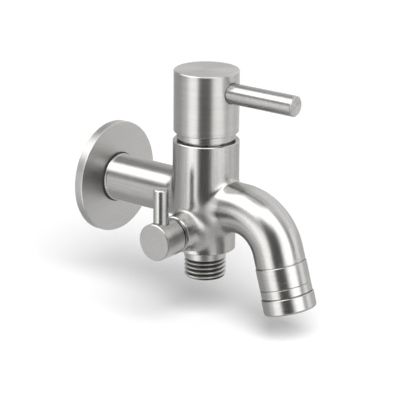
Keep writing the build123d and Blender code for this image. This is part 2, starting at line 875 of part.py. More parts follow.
# Handle head, bored for the spindle's splines, the lever and a grub screw
with BuildPart() as handle_head:
    with BuildSketch(barrel_section):
        with BuildLine():
            Polyline(
                (0, spline_bottom),
                (handle_cavity_r, spline_bottom),
                (handle_cavity_r, handle_bottom),
                (handle_r - edge_break, handle_bottom),
                (handle_r, handle_bottom + edge_break),
                (handle_r, handle_top - handle_edge),
                (handle_r - handle_edge, handle_top),
                (0, handle_top),
                close=True,
            )
        make_face()
    revolve(axis=barrel_axis)
    spline_hole = spline_sketch(
        level(spline_bottom), spindle_r - spline_step + fit_gap, spline_teeth, spline_depth
    )
    extrude(spline_hole, amount=spline_length + tap_over, mode=Mode.SUBTRACT)
    lever_plane = Plane(origin=(0, barrel_y, lever_z), x_dir=(1, 0, 0), z_dir=(0, -1, 0))
    with BuildSketch(lever_plane.offset(lever_seat)):
        Circle(lever_r + socket_clearance)
    extrude(amount=handle_r, mode=Mode.SUBTRACT)
    with BuildSketch(lever_plane.offset(lever_seat)):
        Circle(lever_stud_r)
    extrude(amount=-lever_stud_length - tap_over, mode=Mode.SUBTRACT)
    screw_plane = Plane(origin=(0, barrel_y, screw_z), x_dir=(1, 0, 0), z_dir=(0, 1, 0))
    with BuildSketch(screw_plane):
        Circle(screw_r)
    extrude(amount=2 * handle_r, mode=Mode.SUBTRACT)
handle_head.part.label = "handle_head"

# Lever rod with its stud in the head
with BuildPart() as lever_rod:
    with BuildSketch(lever_plane.offset(lever_seat)):
        Circle(lever_r)
    extrude(amount=lever_reach - lever_seat)
    chamfer(lever_rod.faces().sort_by(Axis.Y)[0].edges(), lever_edge)
    with BuildSketch(lever_plane.offset(lever_seat)):
        Circle(lever_stud_r - fit_gap)
    extrude(amount=-lever_stud_length)
lever_rod.part.label = "lever_rod"

# Grub screw that grips the spindle, with a hexagon for the key
with BuildPart() as handle_screw:
    screw_from = spindle_r - spline_step + 2 * fit_gap
    screw_to = handle_r - screw_setback
    with BuildSketch(screw_plane.offset(screw_from)):
        Circle(screw_r - fit_gap)
    extrude(amount=screw_to - screw_from)
    with BuildSketch(screw_plane.offset(screw_to)):
        RegularPolygon(screw_key / 2, 6, major_radius=False)
    extrude(amount=-screw_key, mode=Mode.SUBTRACT)
handle_screw.part.label = "handle_screw"

# Side headwork: the same valve again, smaller, lying in the boss
with BuildPart() as side_headwork:
    side_start = side_seat + side_lift
    with BuildSketch(side_section):
        with BuildLine():
            Polyline(
                (side_chamber_r, side_start),
                (side_headwork_r, side_start),
                (side_headwork_r, side_plug_at),
                (side_plug_r, side_plug_at),
                (side_plug_r, boss_reach),
                (side_flange_r, boss_reach),
                (side_flange_r, side_flange_end),
                (side_neck_r, side_flange_end),
                (side_neck_r, side_neck_end),
                (side_shaft_bore_r, side_neck_end),
                (side_shaft_bore_r, side_chamber_end),
                (side_chamber_r, side_chamber_end),
                close=True,
            )
        make_face()
    revolve(axis=side_axis)
    side_ring_at = side_plug_at + side_ring_setback
    with BuildSketch(side_section):
        with Locations((side_bore_r - seal_film - side_plug_cord / 2, side_ring_at)):
            Rectangle(side_plug_cord, side_plug_cord + 2 * groove_side)
    revolve(axis=side_axis, mode=Mode.SUBTRACT)
    with BuildSketch(out_along_boss(side_start)):
        Rectangle(4 * side_headwork_r, side_key_width + 2 * fit_gap)
    extrude(amount=side_moving_at - side_start, mode=Mode.SUBTRACT)
    with BuildSketch(out_along_boss(side_foot_at)):
        Rectangle(4 * side_headwork_r, side_window_width, rotation=window_angle)
    extrude(amount=side_foot_t, mode=Mode.SUBTRACT)
    side_stops = stop_sectors(
        out_along_boss(side_foot_at),
        side_chamber_r,
        side_stop_inner_r,
        clear_of_bar(side_foot_width, side_stop_inner_r),
        stroke / 2,
    )
    extrude(side_stops, amount=side_chamber_end - side_foot_at)
side_headwork.part.label = "side_headwork"

with BuildPart() as side_headwork_oring:
    with BuildSketch(side_section):
        with Locations((side_bore_r - seal_film - side_plug_cord / 2, side_ring_at)):
            Circle(side_plug_cord / 2)
    revolve(axis=side_axis)
side_headwork_oring.part.label = "side_headwork_oring"

with BuildPart() as side_seat_seal:
    with BuildSketch(out_along_boss(side_seat)):
        Circle(side_chamber_r - fit_gap)
        Circle(side_chamber_r - fit_gap - side_seal_width, mode=Mode.SUBTRACT)
    extrude(amount=side_seal_t)
side_seat_seal.part.label = "side_seat_seal"

with BuildPart() as side_fixed_disc:
    with BuildSketch(out_along_boss(side_disc_at)):
        Circle(side_chamber_r - fit_gap)
        Rectangle(2 * (side_chamber_r + side_key_reach), side_key_width)
    extrude(amount=side_disc_t)
    side_turn = clear_of_port(side_port_width, side_port_centre_r)
    side_fixed_ports = kidney_ports(
        out_along_boss(side_disc_at), side_port_centre_r, side_port_width, side_turn, 90
    )
    extrude(side_fixed_ports, amount=side_disc_t, mode=Mode.SUBTRACT)
side_fixed_disc.part.label = "side_fixed_disc"

with BuildPart() as side_moving_disc:
    with BuildSketch(out_along_boss(side_moving_at)):
        Circle(side_disc_r)
        for end in (-1, 1):
            with Locations((0, end * side_disc_r)):
                Rectangle(
                    side_tab_width + 2 * fit_gap, 2 * side_tab_reach, mode=Mode.SUBTRACT
                )
    extrude(amount=side_disc_t)
    side_moving_ports = kidney_ports(
        out_along_boss(side_moving_at), side_port_centre_r, side_port_width, side_turn, 0
    )
    extrude(side_moving_ports, amount=side_disc_t, mode=Mode.SUBTRACT)
side_moving_disc.part.label = "side_moving_disc"

with BuildPart() as side_spindle:
    with BuildSketch(out_along_boss(side_foot_at)):
        Circle(side_foot_r)
        Rectangle(side_foot_width, 2 * side_foot_r, mode=Mode.INTERSECT)
    extrude(amount=side_foot_t)
    with BuildSketch(out_along_boss(side_foot_at)):
        Circle(side_foot_r)
        Rectangle(side_tab_width, 2 * side_foot_r, mode=Mode.INTERSECT)
        Rectangle(
            side_tab_width, 2 * (side_disc_r - side_tab_reach + fit_gap), mode=Mode.SUBTRACT
        )
    extrude(amount=-side_tab_depth)
    with BuildSketch(out_along_boss(side_thrust_at)):
        Circle(side_spindle_r)
    extrude(amount=side_spline_at - side_thrust_at)
    side_spline = spline_sketch(
        out_along_boss(side_spline_at),
        side_spindle_r - spline_step,
        side_spline_teeth,
        side_spline_depth,
    )
    extrude(side_spline, amount=side_spline_length)
    side_oring_at = (side_chamber_end + side_neck_end) / 2
    side_oring_r = side_shaft_bore_r - seal_film - side_cord / 2
    with BuildSketch(side_section):
        with Locations((side_oring_r, side_oring_at)):
            Rectangle(side_cord, side_cord + 2 * groove_side)
        with Locations((side_spindle_r, side_clip_at + side_clip_t / 2)):
            Rectangle(2 * side_clip_groove, side_clip_t + 2 * fit_gap)
    revolve(axis=side_axis, mode=Mode.SUBTRACT)
side_spindle.part.label = "side_spindle"

with BuildPart() as side_spindle_oring:
    with BuildSketch(side_section):
        with Locations((side_oring_r, side_oring_at)):
            Circle(side_cord / 2)
    revolve(axis=side_axis)
side_spindle_oring.part.label = "side_spindle_oring"

with BuildPart() as side_thrust_washer:
    with BuildSketch(out_along_boss(side_thrust_at)):
        Circle(side_stop_inner_r - fit_gap)
        Circle(side_spindle_r + face_gap, mode=Mode.SUBTRACT)
    extrude(amount=side_thrust_t)
side_thrust_washer.part.label = "side_thrust_washer"

with BuildPart() as side_spindle_clip:
    with BuildSketch(out_along_boss(side_clip_at)):
        Circle(side_clip_r)
        Circle(side_spindle_r - side_clip_groove + fit_gap, mode=Mode.SUBTRACT)
        with Locations((side_clip_r, 0)):
            Rectangle(2 * side_clip_r, side_clip_mouth, mode=Mode.SUBTRACT)
    extrude(amount=side_clip_t)
side_spindle_clip.part.label = "side_spindle_clip"

# Side knob, bored for the splines, the pin lever and a grub screw
with BuildPart() as side_knob:
    with BuildSketch(side_section):
        with BuildLine():
            Polyline(
                (0, side_spline_at),
                (knob_cavity_r, side_spline_at),
                (knob_cavity_r, knob_back),
                (knob_r - knob_edge, knob_back),
                (knob_r, knob_back + knob_edge),
                (knob_r, knob_face - knob_edge),
                (knob_r - knob_edge, knob_face),
                (0, knob_face),
                close=True,
            )
        make_face()
    revolve(axis=side_axis)
    knob_spline_hole = spline_sketch(
        out_along_boss(side_spline_at),
        side_spindle_r - spline_step + fit_gap,
        side_spline_teeth,
        side_spline_depth,
    )
    extrude(knob_spline_hole, amount=side_spline_length + tap_over, mode=Mode.SUBTRACT)
    stem_plane = Plane(origin=(-stem_at, barrel_y, side_z))
    with BuildSketch(stem_plane.offset(stem_seat)):
        Circle(stem_r + socket_clearance)
    extrude(amount=knob_r, mode=Mode.SUBTRACT)
    with BuildSketch(stem_plane.offset(stem_seat)):
        Circle(stem_stud_r)
    extrude(amount=-stem_stud_length - tap_over, mode=Mode.SUBTRACT)
    knob_screw_plane = Plane(
        origin=(-knob_screw_at, barrel_y, side_z), x_dir=(1, 0, 0), z_dir=(0, 0, -1)
    )
    with BuildSketch(knob_screw_plane):
        Circle(knob_screw_r)
    extrude(amount=2 * knob_r, mode=Mode.SUBTRACT)
side_knob.part.label = "side_knob"

# Pin lever that stands on the knob
with BuildPart() as knob_stem:
    with BuildSketch(stem_plane.offset(stem_seat)):
        Circle(stem_r)
    extrude(amount=stem_top - side_z - stem_seat)
    chamfer(knob_stem.faces().sort_by(Axis.Z)[-1].edges(), stem_edge)
    with BuildSketch(stem_plane.offset(stem_seat)):
        Circle(stem_stud_r - fit_gap)
    extrude(amount=-stem_stud_length)
knob_stem.part.label = "knob_stem"

with BuildPart() as knob_screw:
    knob_screw_from = side_spindle_r - spline_step + 2 * fit_gap
    knob_screw_to = knob_r - knob_screw_setback
    with BuildSketch(knob_screw_plane.offset(knob_screw_from)):
        Circle(knob_screw_r - fit_gap)
    extrude(amount=knob_screw_to - knob_screw_from)
    with BuildSketch(knob_screw_plane.offset(knob_screw_to)):
        RegularPolygon(knob_screw_key / 2, 6, major_radius=False)
    extrude(amount=-knob_screw_key, mode=Mode.SUBTRACT)
knob_screw.part.label = "knob_screw"

pieces = [
    tap_body, wall_flange, flange_oring, flange_seal, outlet_nipple, nipple_washer,
    spout_sleeve, sleeve_oring, aerator_collar, aerator_washer, aerator_gauze, aerator_insert,
    headwork, headwork_oring, seat_seal, fixed_disc, moving_disc, spindle, spindle_orings,
    thrust_washer, spindle_clip, bonnet_ring, handle_head, lever_rod, handle_screw,
    side_headwork, side_headwork_oring, side_seat_seal, side_fixed_disc, side_moving_disc,
    side_spindle, side_spindle_oring, side_thrust_washer, side_spindle_clip,
    side_knob, knob_stem, knob_screw,
]
os.makedirs("parts", exist_ok=True)
for piece in pieces:
    export_step(piece.part, f"parts/{piece.part.label}.step")
print(len(pieces), "pieces written")
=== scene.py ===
# %% [markdown]
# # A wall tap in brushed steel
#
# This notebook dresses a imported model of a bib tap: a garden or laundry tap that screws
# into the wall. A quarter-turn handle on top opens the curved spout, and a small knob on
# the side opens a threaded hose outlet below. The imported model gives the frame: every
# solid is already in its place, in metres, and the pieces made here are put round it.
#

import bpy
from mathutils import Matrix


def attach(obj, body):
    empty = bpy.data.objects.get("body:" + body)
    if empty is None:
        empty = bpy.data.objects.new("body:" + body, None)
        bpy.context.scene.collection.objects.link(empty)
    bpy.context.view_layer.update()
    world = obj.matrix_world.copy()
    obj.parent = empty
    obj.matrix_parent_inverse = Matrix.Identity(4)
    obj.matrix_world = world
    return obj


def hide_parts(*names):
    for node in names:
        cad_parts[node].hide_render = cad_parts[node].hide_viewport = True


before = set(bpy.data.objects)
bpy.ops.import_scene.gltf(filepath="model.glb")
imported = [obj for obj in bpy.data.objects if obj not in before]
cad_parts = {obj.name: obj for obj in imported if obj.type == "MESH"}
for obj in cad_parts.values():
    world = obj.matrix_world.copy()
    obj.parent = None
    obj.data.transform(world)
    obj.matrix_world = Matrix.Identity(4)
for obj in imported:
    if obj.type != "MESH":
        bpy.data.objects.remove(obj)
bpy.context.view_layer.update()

from math import atan2, ceil, cos, pi, radians, sin, tan

import bpy
import numpy as np
from mathutils import Matrix, Vector
from mathutils.geometry import delaunay_2d_cdt

# %% [markdown]
# ## Lengths
#
# A plumber's drawing is in millimetres and Blender counts in metres, so each length is
# written in millimetres and turned into metres in one place, where a point is made.
# Turned parts share a few facts: where an axis stands, which way it runs, and two
# directions across it. A small class keeps them together. Its ring of directions is
# cos(angle) * across + sin(angle) * beside.

# %% Lengths and axes
mm = 0.001
barrel_y = -61.5
left = np.array([-1.0, 0, 0])
front = np.array([0, -1.0, 0])
up = np.array([0, 0, 1.0])


def unit(vectors):
    """Vectors divided by their length."""
    return vectors / np.linalg.norm(vectors, axis=-1, keepdims=True)


class Axis:
    """A line that a form is turned round: a point on it, its heading, two ways across."""

    def __init__(self, origin, heading, across):
        self.origin = np.array(origin, float)
        self.heading = unit(np.array(heading, float))
        self.across = unit(np.array(across, float))
        self.beside = np.cross(self.heading, self.across)

    def ring(self, angles):
        """Directions away from the axis, one for each angle."""
        return np.outer(np.cos(angles), self.across) + np.outer(np.sin(angles), self.beside)


barrel = Axis((0, barrel_y, 0), up, left)
print("the barrel stands", -barrel_y, "mm from the wall")

# %% [markdown]
# ## The camera
#
# The photograph was taken from the front and left, a little above the tap, with a long
# lens, so edges that are parallel on the tap stay nearly parallel in the picture. The
# bearing, height and lens were found by fitting the tap's circles to the picture. The
# camera is put a metre away along that bearing, and turned by a roll of half a degree.

# %% Camera
bearing = radians(-52.029)
tilt = radians(17.939)
roll = radians(0.449)
lens = 180.988
sensor = 36.0
distance = 1.0
nearest = 0.01
aim_right = -0.002826
aim_up = -0.001234


def added(name, data):
    """A new object in the scene."""
    thing = bpy.data.objects.new(name, data)
    bpy.context.scene.collection.objects.link(thing)
    return thing


sideways = Vector((cos(bearing), sin(bearing), 0))
backward = Vector((sin(bearing) * cos(tilt), -cos(bearing) * cos(tilt), sin(tilt)))
upward = backward.cross(sideways)
aim = Vector((0, barrel_y * mm, 0)) + sideways * aim_right + Vector((0, 0, aim_up))
camera_data = bpy.data.cameras.new("camera")
camera_data.lens = lens
camera_data.sensor_width = sensor
camera_data.clip_start = nearest
camera = added("camera", camera_data)
camera_right = sideways * cos(roll) + upward * sin(roll)
camera_up = upward * cos(roll) - sideways * sin(roll)
turned_camera = Matrix((camera_right, camera_up, backward)).transposed().to_4x4()
camera.matrix_world = Matrix.Translation(aim + backward * distance) @ turned_camera
bpy.context.scene.camera = camera
bpy.context.scene.view_settings.view_transform = "Standard"
print("camera at", [round(value, 3) for value in camera.location])

# %% [markdown]
# ## A skin of patches
#
# A machined casting is a few smooth surfaces that meet along edges. It could be modelled
# with boolean cuts and a Bevel modifier, but cuts through round surfaces leave long thin
# faces that catch the light. Here each surface is a grid of points worked out from its
# formula, and each point carries the surface's true direction outwards, so that even a
# coarse grid shades like polished metal. The skin gathers such patches, merges the points
# that two patches share, and keeps both directions along a sharp edge. Each patch also
# has a map: how far round the form a point lies, and how far along it.

# %% Skin
merge_within = 1e-7


class Skin:
    """Patches of surface that close into one mesh."""

    def __init__(self):
        self.points = []
        self.normals = []
        self.maps = []
        self.faces = []
        self.count = 0

    def patch(self, points, normals, maps, faces):
        """Add points in mm, their outward directions, their map and rows of corners."""
        corner = points[faces]
        facing = np.cross(corner[:, 1] - corner[:, 0], corner[:, -1] - corner[:, 0])
        if np.sum(facing * normals[faces].mean(axis=1)) < 0:
            faces = faces[:, ::-1]
        self.points.append(points * mm)
        self.normals.append(unit(normals))
        self.maps.append(maps)
        self.faces.append(faces + self.count)
        self.count += len(points)

    def grid(self, points, normals, maps):
        """Add a grid of points, each two rows joined by squares."""
        rows, columns = points.shape[:2]
        number = np.arange(rows * columns).reshape(rows, columns)
        squares = [number[:-1, :-1], number[1:, :-1], number[1:, 1:], number[:-1, 1:]]
        faces = np.stack(squares, axis=-1).reshape(-1, 4)
        flat = [np.reshape(values, (rows * columns, -1)) for values in (points, normals, maps)]
        self.patch(*flat, faces)

    def join(self, other):
        """Take over another skin's patches."""
        self.points += other.points
        self.normals += other.normals
        self.maps += other.maps
        self.faces += [faces + self.count for faces in other.faces]
        self.count += other.count

    def closed(self):
        """Corner lists after merging: squares, and triangles where two corners met."""
        points = np.concatenate(self.points)
        cells = np.round(points / merge_within).astype(np.int64)
        _, first, merged = np.unique(cells, axis=0, return_index=True, return_inverse=True)
        merged = merged.reshape(-1)
        squares = np.concatenate([rows for rows in self.faces if rows.shape[1] == 4])
        same = merged[squares] == merged[np.roll(squares, -1, axis=1)]
        shapes = [squares[~same.any(axis=1)]]
        for corner in range(4):
            pinched = (same.sum(axis=1) == 1) & same[:, corner]
            shapes.append(np.delete(squares[pinched], corner, axis=1))
        shapes += [rows for rows in self.faces if rows.shape[1] == 3]
        return points[first], merged, [rows for rows in shapes if len(rows)]

    def make(self, name):
        """A mesh object of the patches, with its map and its corners' directions."""
        points, merged, shapes = self.closed()
        corners = np.concatenate([rows.reshape(-1) for rows in shapes])
        faces = [face for rows in shapes for face in merged[rows].tolist()]
        mesh = bpy.data.meshes.new(name)
        mesh.from_pydata(points.tolist(), [], faces)
        mesh.polygons.foreach_set("use_smooth", np.ones(len(faces), bool))
        layer = mesh.uv_layers.new(name="turning")
        layer.data.foreach_set("uv", np.concatenate(self.maps)[corners].ravel())
        mesh.normals_split_custom_set(np.concatenate(self.normals)[corners])
        edges = np.concatenate([self.sides(merged[rows]) for rows in shapes])
        _, uses = np.unique(np.sort(edges, axis=1), axis=0, return_counts=True)
        print(name, len(faces), "faces,", int(np.sum(uses != 2)), "open edges")
        return added(name, mesh)

    def sides(self, rows):
        """Every side of every face, as pairs of corners."""
        return np.stack([rows, np.roll(rows, -1, axis=1)], axis=-1).reshape(-1, 2)


# %% [markdown]
# ## Turned forms
#
# Most of the tap comes off a lathe. A lathe form is an outline carried round an axis. The
# outline is a list of corners, each with the radius of the small round that the tool or
# the polishing wheel leaves there. A corner without a round stays sharp. The outline is
# walked so that the metal lies on its left, which makes its right-hand side the outside.

# %% Outline
longest_run = 3.0
arc_step = radians(14)
fine_round = np.linspace(0, 2 * pi, 161)
branch_round = np.linspace(0, 2 * pi, 129)
small_round = np.linspace(0, 2 * pi, 65)


def outline(*corners):
    """Rows of radius, height, outward radius and height, and the way walked, in mm.

    A corner is (radius, height) or (radius, height, round). A round is an arc that is
    tangent to both runs: it starts round * tan(turn / 2) before the corner.
    """
    spots = np.array([corner[:2] for corner in corners], float)
    rounds = [corner[2] if len(corner) == 3 else 0 for corner in corners]
    headings = unit(np.diff(spots, axis=0))
    start = spots[0]
    rows = []
    for number, heading in enumerate(headings):
        outward = np.array([heading[1], -heading[0]])
        turn = 0.0
        if number + 1 < len(headings):
            ahead = headings[number + 1]
            turn = atan2(heading[0] * ahead[1] - heading[1] * ahead[0], heading @ ahead)
        round_r = rounds[number + 1]
        end = spots[number + 1] - heading * round_r * tan(abs(turn) / 2)
        parts = max(1, ceil(np.linalg.norm(end - start) / longest_run))
        run = start + np.linspace(0, 1, parts + 1)[:, None] * (end - start)
        rows.append(np.hstack([run, np.tile(outward, (parts + 1, 1))]))
        if round_r and turn:
            swing = np.linspace(0, turn, max(3, ceil(abs(turn) / arc_step) + 1))
            facing = np.stack([
                outward[0] * np.cos(swing) - outward[1] * np.sin(swing),
                outward[0] * np.sin(swing) + outward[1] * np.cos(swing),
            ], axis=1)
            side = np.sign(turn) * round_r
            arc = end - side * outward + side * facing
            rows.append(np.hstack([arc, facing]))
            end = arc[-1]
        start = end
    rows = np.vstack(rows)
    steps = np.linalg.norm(np.diff(rows[:, :2], axis=0), axis=1)
    return np.column_stack([rows, np.concatenate([[0], np.cumsum(steps)])])


def turning_map(angles, along):
    """How far round each point lies, in turns, and how far along, in metres."""
    return np.stack(np.broadcast_arrays(angles / (2 * pi), along * mm), axis=-1)


def turned(skin, axis, *corners, angles=branch_round):
    """Carry an outline round an axis.

    A point is origin + height * heading + radius * ring(angle).
    """
    radius, height, lean, rise, way = outline(*corners).T[:, :, None, None]
    ring = axis.ring(angles)
    points = axis.origin + height * axis.heading + radius * ring
    normals = lean * ring + rise * axis.heading
    skin.grid(points, normals, turning_map(angles, way[:, :, 0]))


print("outline rows of a plain washer", len(outline((5, 0), (9, 0), (9, 2), (5, 2), (5, 0))))

# %% [markdown]
# ## Branches and holes in a round wall
#
# The arm, the spout and the boss all leave the barrel, and each joint is filled by a
# small concave round, as a founder fills it. A lever or a screw goes into a hole whose
# mouth has a small convex round. Both are the path of a ball: it rolls touching the wall
# and the branch, outside the metal for a fillet and inside it for a worn edge. Its centre
# lies a ball's radius off the wall and off the branch, so for each angle round the branch
# one square root gives it. The surface is the arc of the ball between its two contacts.

# %% Rolling ball
foot_steps = 12
round_rows = 9


class Wall:
    """The round wall of a turned form: its axis and its outline, lowest row first."""

    def __init__(self, axis, rows):
        self.axis = axis
        self.rows = rows

    def at(self, heights, ball=0.0):
        """Radius and outward direction where a shell a ball's radius off has these heights.

        The foot on the wall is found by repeating foot = height - ball * rise(foot).
        """
        radius, height, lean, rise, _ = self.rows.T
        foot = heights
        for _ in range(foot_steps):
            foot = heights - ball * np.interp(foot, height, rise)
        radius, lean, rise = (np.interp(foot, height, values) for values in (radius, lean, rise))
        return radius + ball * lean, lean, rise


def rolled(skin, wall, branch, radius, ball, side=1, angles=branch_round):
    """Skin the round where a branch (side 1) or a hole (side -1) meets a wall.

    The ball's centre is origin + reach * heading + (radius + ball) * ring, with
    reach = sqrt(shell radius ** 2 - sideways ** 2). Returns the reach for each angle,
    and the wall's loop of points and directions.
    """
    hub = wall.axis
    ring = branch.ring(angles)
    heights = (branch.origin - hub.origin) @ hub.heading + (radius + ball) * (ring @ hub.heading)
    aside = (radius + ball) * (ring @ np.cross(hub.heading, branch.heading))
    shell, lean, rise = wall.at(heights, side * ball)
    reach = np.sqrt(shell ** 2 - aside ** 2)
    centre = branch.origin + reach[:, None] * branch.heading + (radius + ball) * ring
    outward = centre - hub.origin
    outward = unit(outward - np.outer(outward @ hub.heading, hub.heading))
    facing = lean[:, None] * outward + rise[:, None] * hub.heading
    first = -side * facing
    last = -ring
    swing = np.arccos(np.sum(first * last, axis=1))[:, None]
    share = np.linspace(0, 1, round_rows)[:, None, None]
    arc = (np.sin((1 - share) * swing) * first + np.sin(share * swing) * last) / np.sin(swing)
    skin.grid(centre + ball * arc, -side * arc, turning_map(angles, share[:, :, 0] * ball))
    return reach, (centre + ball * first, facing)


def sleeved(skin, branch, radius, reach, end, side=1, angles=branch_round):
    """Skin a branch's straight side from its joint to a square end."""
    share = np.linspace(0, 1, max(2, ceil(abs(end - reach.mean()) / longest_run)))[:, None]
    along = reach + share * (end - reach)
    ring = branch.ring(angles)
    points = branch.origin + along[:, :, None] * branch.heading + radius * ring
    normals = np.broadcast_to(side * ring, points.shape)
    skin.grid(points, normals, turning_map(angles, along))


# %% [markdown]
# The wall itself is unrolled flat like the label of a tin, with the joints' loops drawn
# on it. Blender's own triangulation fills the sheet between the loops, and the sheet is
# rolled up again. Cutting a grid by hand would leave slivers along the loops.

# %% Pierced wall
loop_margin = 0.4
seam_within = 1e-9
joined_within = 1e-4


def inside(loop, points):
    """Whether each point lies in a closed loop.

    A ray to the right of such a point crosses the loop an odd number of times.
    """
    ahead = np.roll(loop, -1, axis=0)
    x, y = points[:, None, 0], points[:, None, 1]
    spans = (loop[:, 1] > y) != (ahead[:, 1] > y)
    rise = ahead[:, 1] - loop[:, 1]
    slope = (ahead[:, 0] - loop[:, 0]) / np.where(rise == 0, 1, rise)
    crossings = spans & (x < loop[:, 0] + slope * (y - loop[:, 1]))
    return crossings.sum(axis=1) % 2 == 1


def pierced(skin, wall, heights, loops, angles=fine_round):
    """Skin a round wall between its loops. A point is angle and height, rolled up."""
    hub = wall.axis
    round_r = wall.at(heights)[0].mean()
    angle, height = (values.ravel() for values in np.meshgrid(angles - pi, heights))
    border = (height == heights[0]) | (height == heights[-1]) | (abs(angle) > pi - seam_within)
    flat_loops = []
    for points, _ in loops:
        away = points[:-1] - hub.origin
        turn = np.arctan2(away @ hub.beside, away @ hub.across)
        flat_loops.append(np.column_stack([turn * round_r, away @ hub.heading]))
    flat = np.column_stack([angle * round_r, height])
    clear = np.ones(len(flat), bool)
    margin = loop_margin * (angles[1] - angles[0]) * round_r
    for loop in flat_loops:
        gap = np.linalg.norm(flat[:, None] - loop, axis=2).min(axis=1)
        clear &= ~inside(loop, flat) & (gap > margin)
    keep = border | clear
    flat, angle, height = flat[keep], angle[keep], height[keep]
    radius, lean, rise = (values[:, None] for values in wall.at(height))
    ring = hub.ring(angle)
    points = [hub.origin + height[:, None] * hub.heading + radius * ring]
    normals = [lean * ring + rise * hub.heading]
    edges = []
    start = len(flat)
    for loop, (loop_points, loop_normals) in zip(flat_loops, loops):
        number = np.arange(len(loop))
        edges += np.column_stack([number, np.roll(number, -1)] + start * np.ones(1, int)).tolist()
        points.append(loop_points[:-1])
        normals.append(loop_normals[:-1])
        start += len(loop)
    flat = np.vstack([flat, *flat_loops])
    spots = [Vector(spot) for spot in flat]
    _, _, faces, sources, _, _ = delaunay_2d_cdt(spots, edges, [], 0, joined_within)
    source = np.array([same[0] for same in sources])
    faces = source[np.array(faces)]
    middle = flat[faces].mean(axis=1)
    for loop in flat_loops:
        faces = faces[~inside(loop, middle)]
        middle = flat[faces].mean(axis=1)
    maps = flat * [1 / (2 * pi * round_r), mm]
    skin.patch(np.vstack(points), np.vstack(normals), maps, faces)


# %% [markdown]
# ## Screw threads
#
# A pipe thread is a groove that winds round the pipe. It could be swept along a helix,
# but a grid whose radius depends on the height and the angle is simpler and stays closed:
# the radius is the crest's, less the groove's depth. The groove is a function of the
# phase height / pitch - angle / turn: either flat at the crest and the root with sloping
# sides between, or round all over, as sin(pi * phase) ** 2. It fades in over a short way
# at both ends, as the cutter runs out.

# %% Thread
thread_r = 10.4775
lead = 0.9
rows_a_turn = 22
run_in = 0.4
run_out = 0.25
flat_groove = ([0, 0.08, 0.42, 0.58, 0.92, 1], [0, 0, 1, 1, 0, 0])
one_turn = np.linspace(0, 1, 23)
round_groove = (one_turn, np.sin(pi * one_turn) ** 2)


def threaded(skin, axis, start, end, pitch, depth, groove, angles=branch_round):
    """Skin a male thread from a plain crest at start to a tip chamfered by the lead at end."""
    heights = np.linspace(start, end, ceil((end - start) / pitch * rows_a_turn))[:, None]
    phase = ((heights - start) / pitch - angles / (2 * pi)) % 1
    fade = np.clip((heights - start) / (run_in * pitch), 0, 1)
    fade = fade * np.clip((end - heights) / (run_out * pitch), 0, 1)
    radius = thread_r - depth * fade * np.interp(phase, *groove)
    radius = np.minimum(radius, thread_r - lead + (end - heights))
    ring = axis.ring(angles)
    points = axis.origin + heights[:, :, None] * axis.heading + radius[:, :, None] * ring
    steepness = np.gradient(radius, heights[:, 0], axis=0)
    twist = np.gradient(radius, angles, axis=1) / radius
    around = np.cross(axis.heading, ring)
    normals = ring - steepness[:, :, None] * axis.heading - twist[:, :, None] * around
    skin.grid(points, normals, turning_map(angles, heights))


print("crest to crest across", 2 * thread_r, "mm")

# %% [markdown]
# ## The body casting
#
# The body is one casting: an upright barrel that narrows below in a soft S, a level arm
# back to the wall, the spout and a boss for the side valve. The S is two arcs that meet
# halfway, each (width ** 2 + length ** 2) / (2 * width) in radius for half its width and
# length.

# %% Barrel wall
barrel_r = 16.5
lower_r = 15.0
waist_top = -6.0
waist_bottom = -20.0
bottom_z = -25.5
top_z = 30.5
edge = 0.3
rim_edge = 0.4
rim_round = 0.12
foot_z = bottom_z + edge + rim_round
shoulder_z = top_z - rim_edge - rim_round

half_width = (barrel_r - lower_r) / 2
half_length = (waist_top - waist_bottom) / 2
waist_rows = 24
waist_r = (half_width ** 2 + half_length ** 2) / (2 * half_width)
swing = np.linspace(0, np.arcsin(half_length / waist_r), waist_rows)
concave = np.column_stack([
    lower_r + waist_r * (1 - np.cos(swing)), waist_bottom + waist_r * np.sin(swing),
    np.cos(swing), -np.sin(swing), np.zeros_like(swing),
])
convex = np.column_stack([
    barrel_r - waist_r * (1 - np.cos(swing)), waist_top - waist_r * np.sin(swing),
    np.cos(swing), -np.sin(swing), np.zeros_like(swing),
])[::-1]
barrel_wall = Wall(barrel, np.vstack([
    [lower_r, foot_z, 1, 0, 0], concave, convex, [barrel_r, shoulder_z, 1, 0, 0],
]))
print("waist arcs of", round(waist_r, 2), "mm")

# %% [markdown]
# The arm ends in a low bead against the wall flange, which catches a ring of light, then a
# plain neck passes through the flange and the thread goes on into the wall. Its bore is a
# blind pocket here, because nothing can be seen past its depth.

# %% Arm
body = Skin()
arm_r = 11.8975
arm_end = 56.4
neck_r = 10.1975
wall_at = -barrel_y
inlet_start = wall_at + 0.5
inlet_end = wall_at + 15.0
inlet_pitch = 25.4 / 14
inlet_depth = 1.16
bore_r = 7.2
bore_floor = 16.5
fillet = 2.0
bead = 0.3
arm = Axis((0, barrel_y, 0), -front, left)
arm_reach, arm_loop = rolled(body, barrel_wall, arm, arm_r, fillet)
arm_straight = arm_end - 2.4
sleeved(body, arm, arm_r, arm_reach, arm_straight)
arm_ends = Skin()
turned(
    arm_ends, arm, (arm_r, arm_straight), (arm_r, arm_end - 1.8, 0.3),
    (arm_r + bead, arm_end - 1.3, 0.4), (arm_r + bead, arm_end - 0.4, 0.2),
    (arm_r - bead, arm_end, 0.12), (neck_r, arm_end), (neck_r, wall_at), (thread_r, wall_at),
    (thread_r, inlet_start),
)
threaded(arm_ends, arm, inlet_start, inlet_end, inlet_pitch, inlet_depth, flat_groove)
turned(
    arm_ends, arm, (thread_r - lead, inlet_end), (bore_r, inlet_end, 0.4),
    (bore_r, bore_floor), (0, bore_floor),
)
print("arm leaves the wall fillet at", round(arm_reach.max(), 2), "mm")

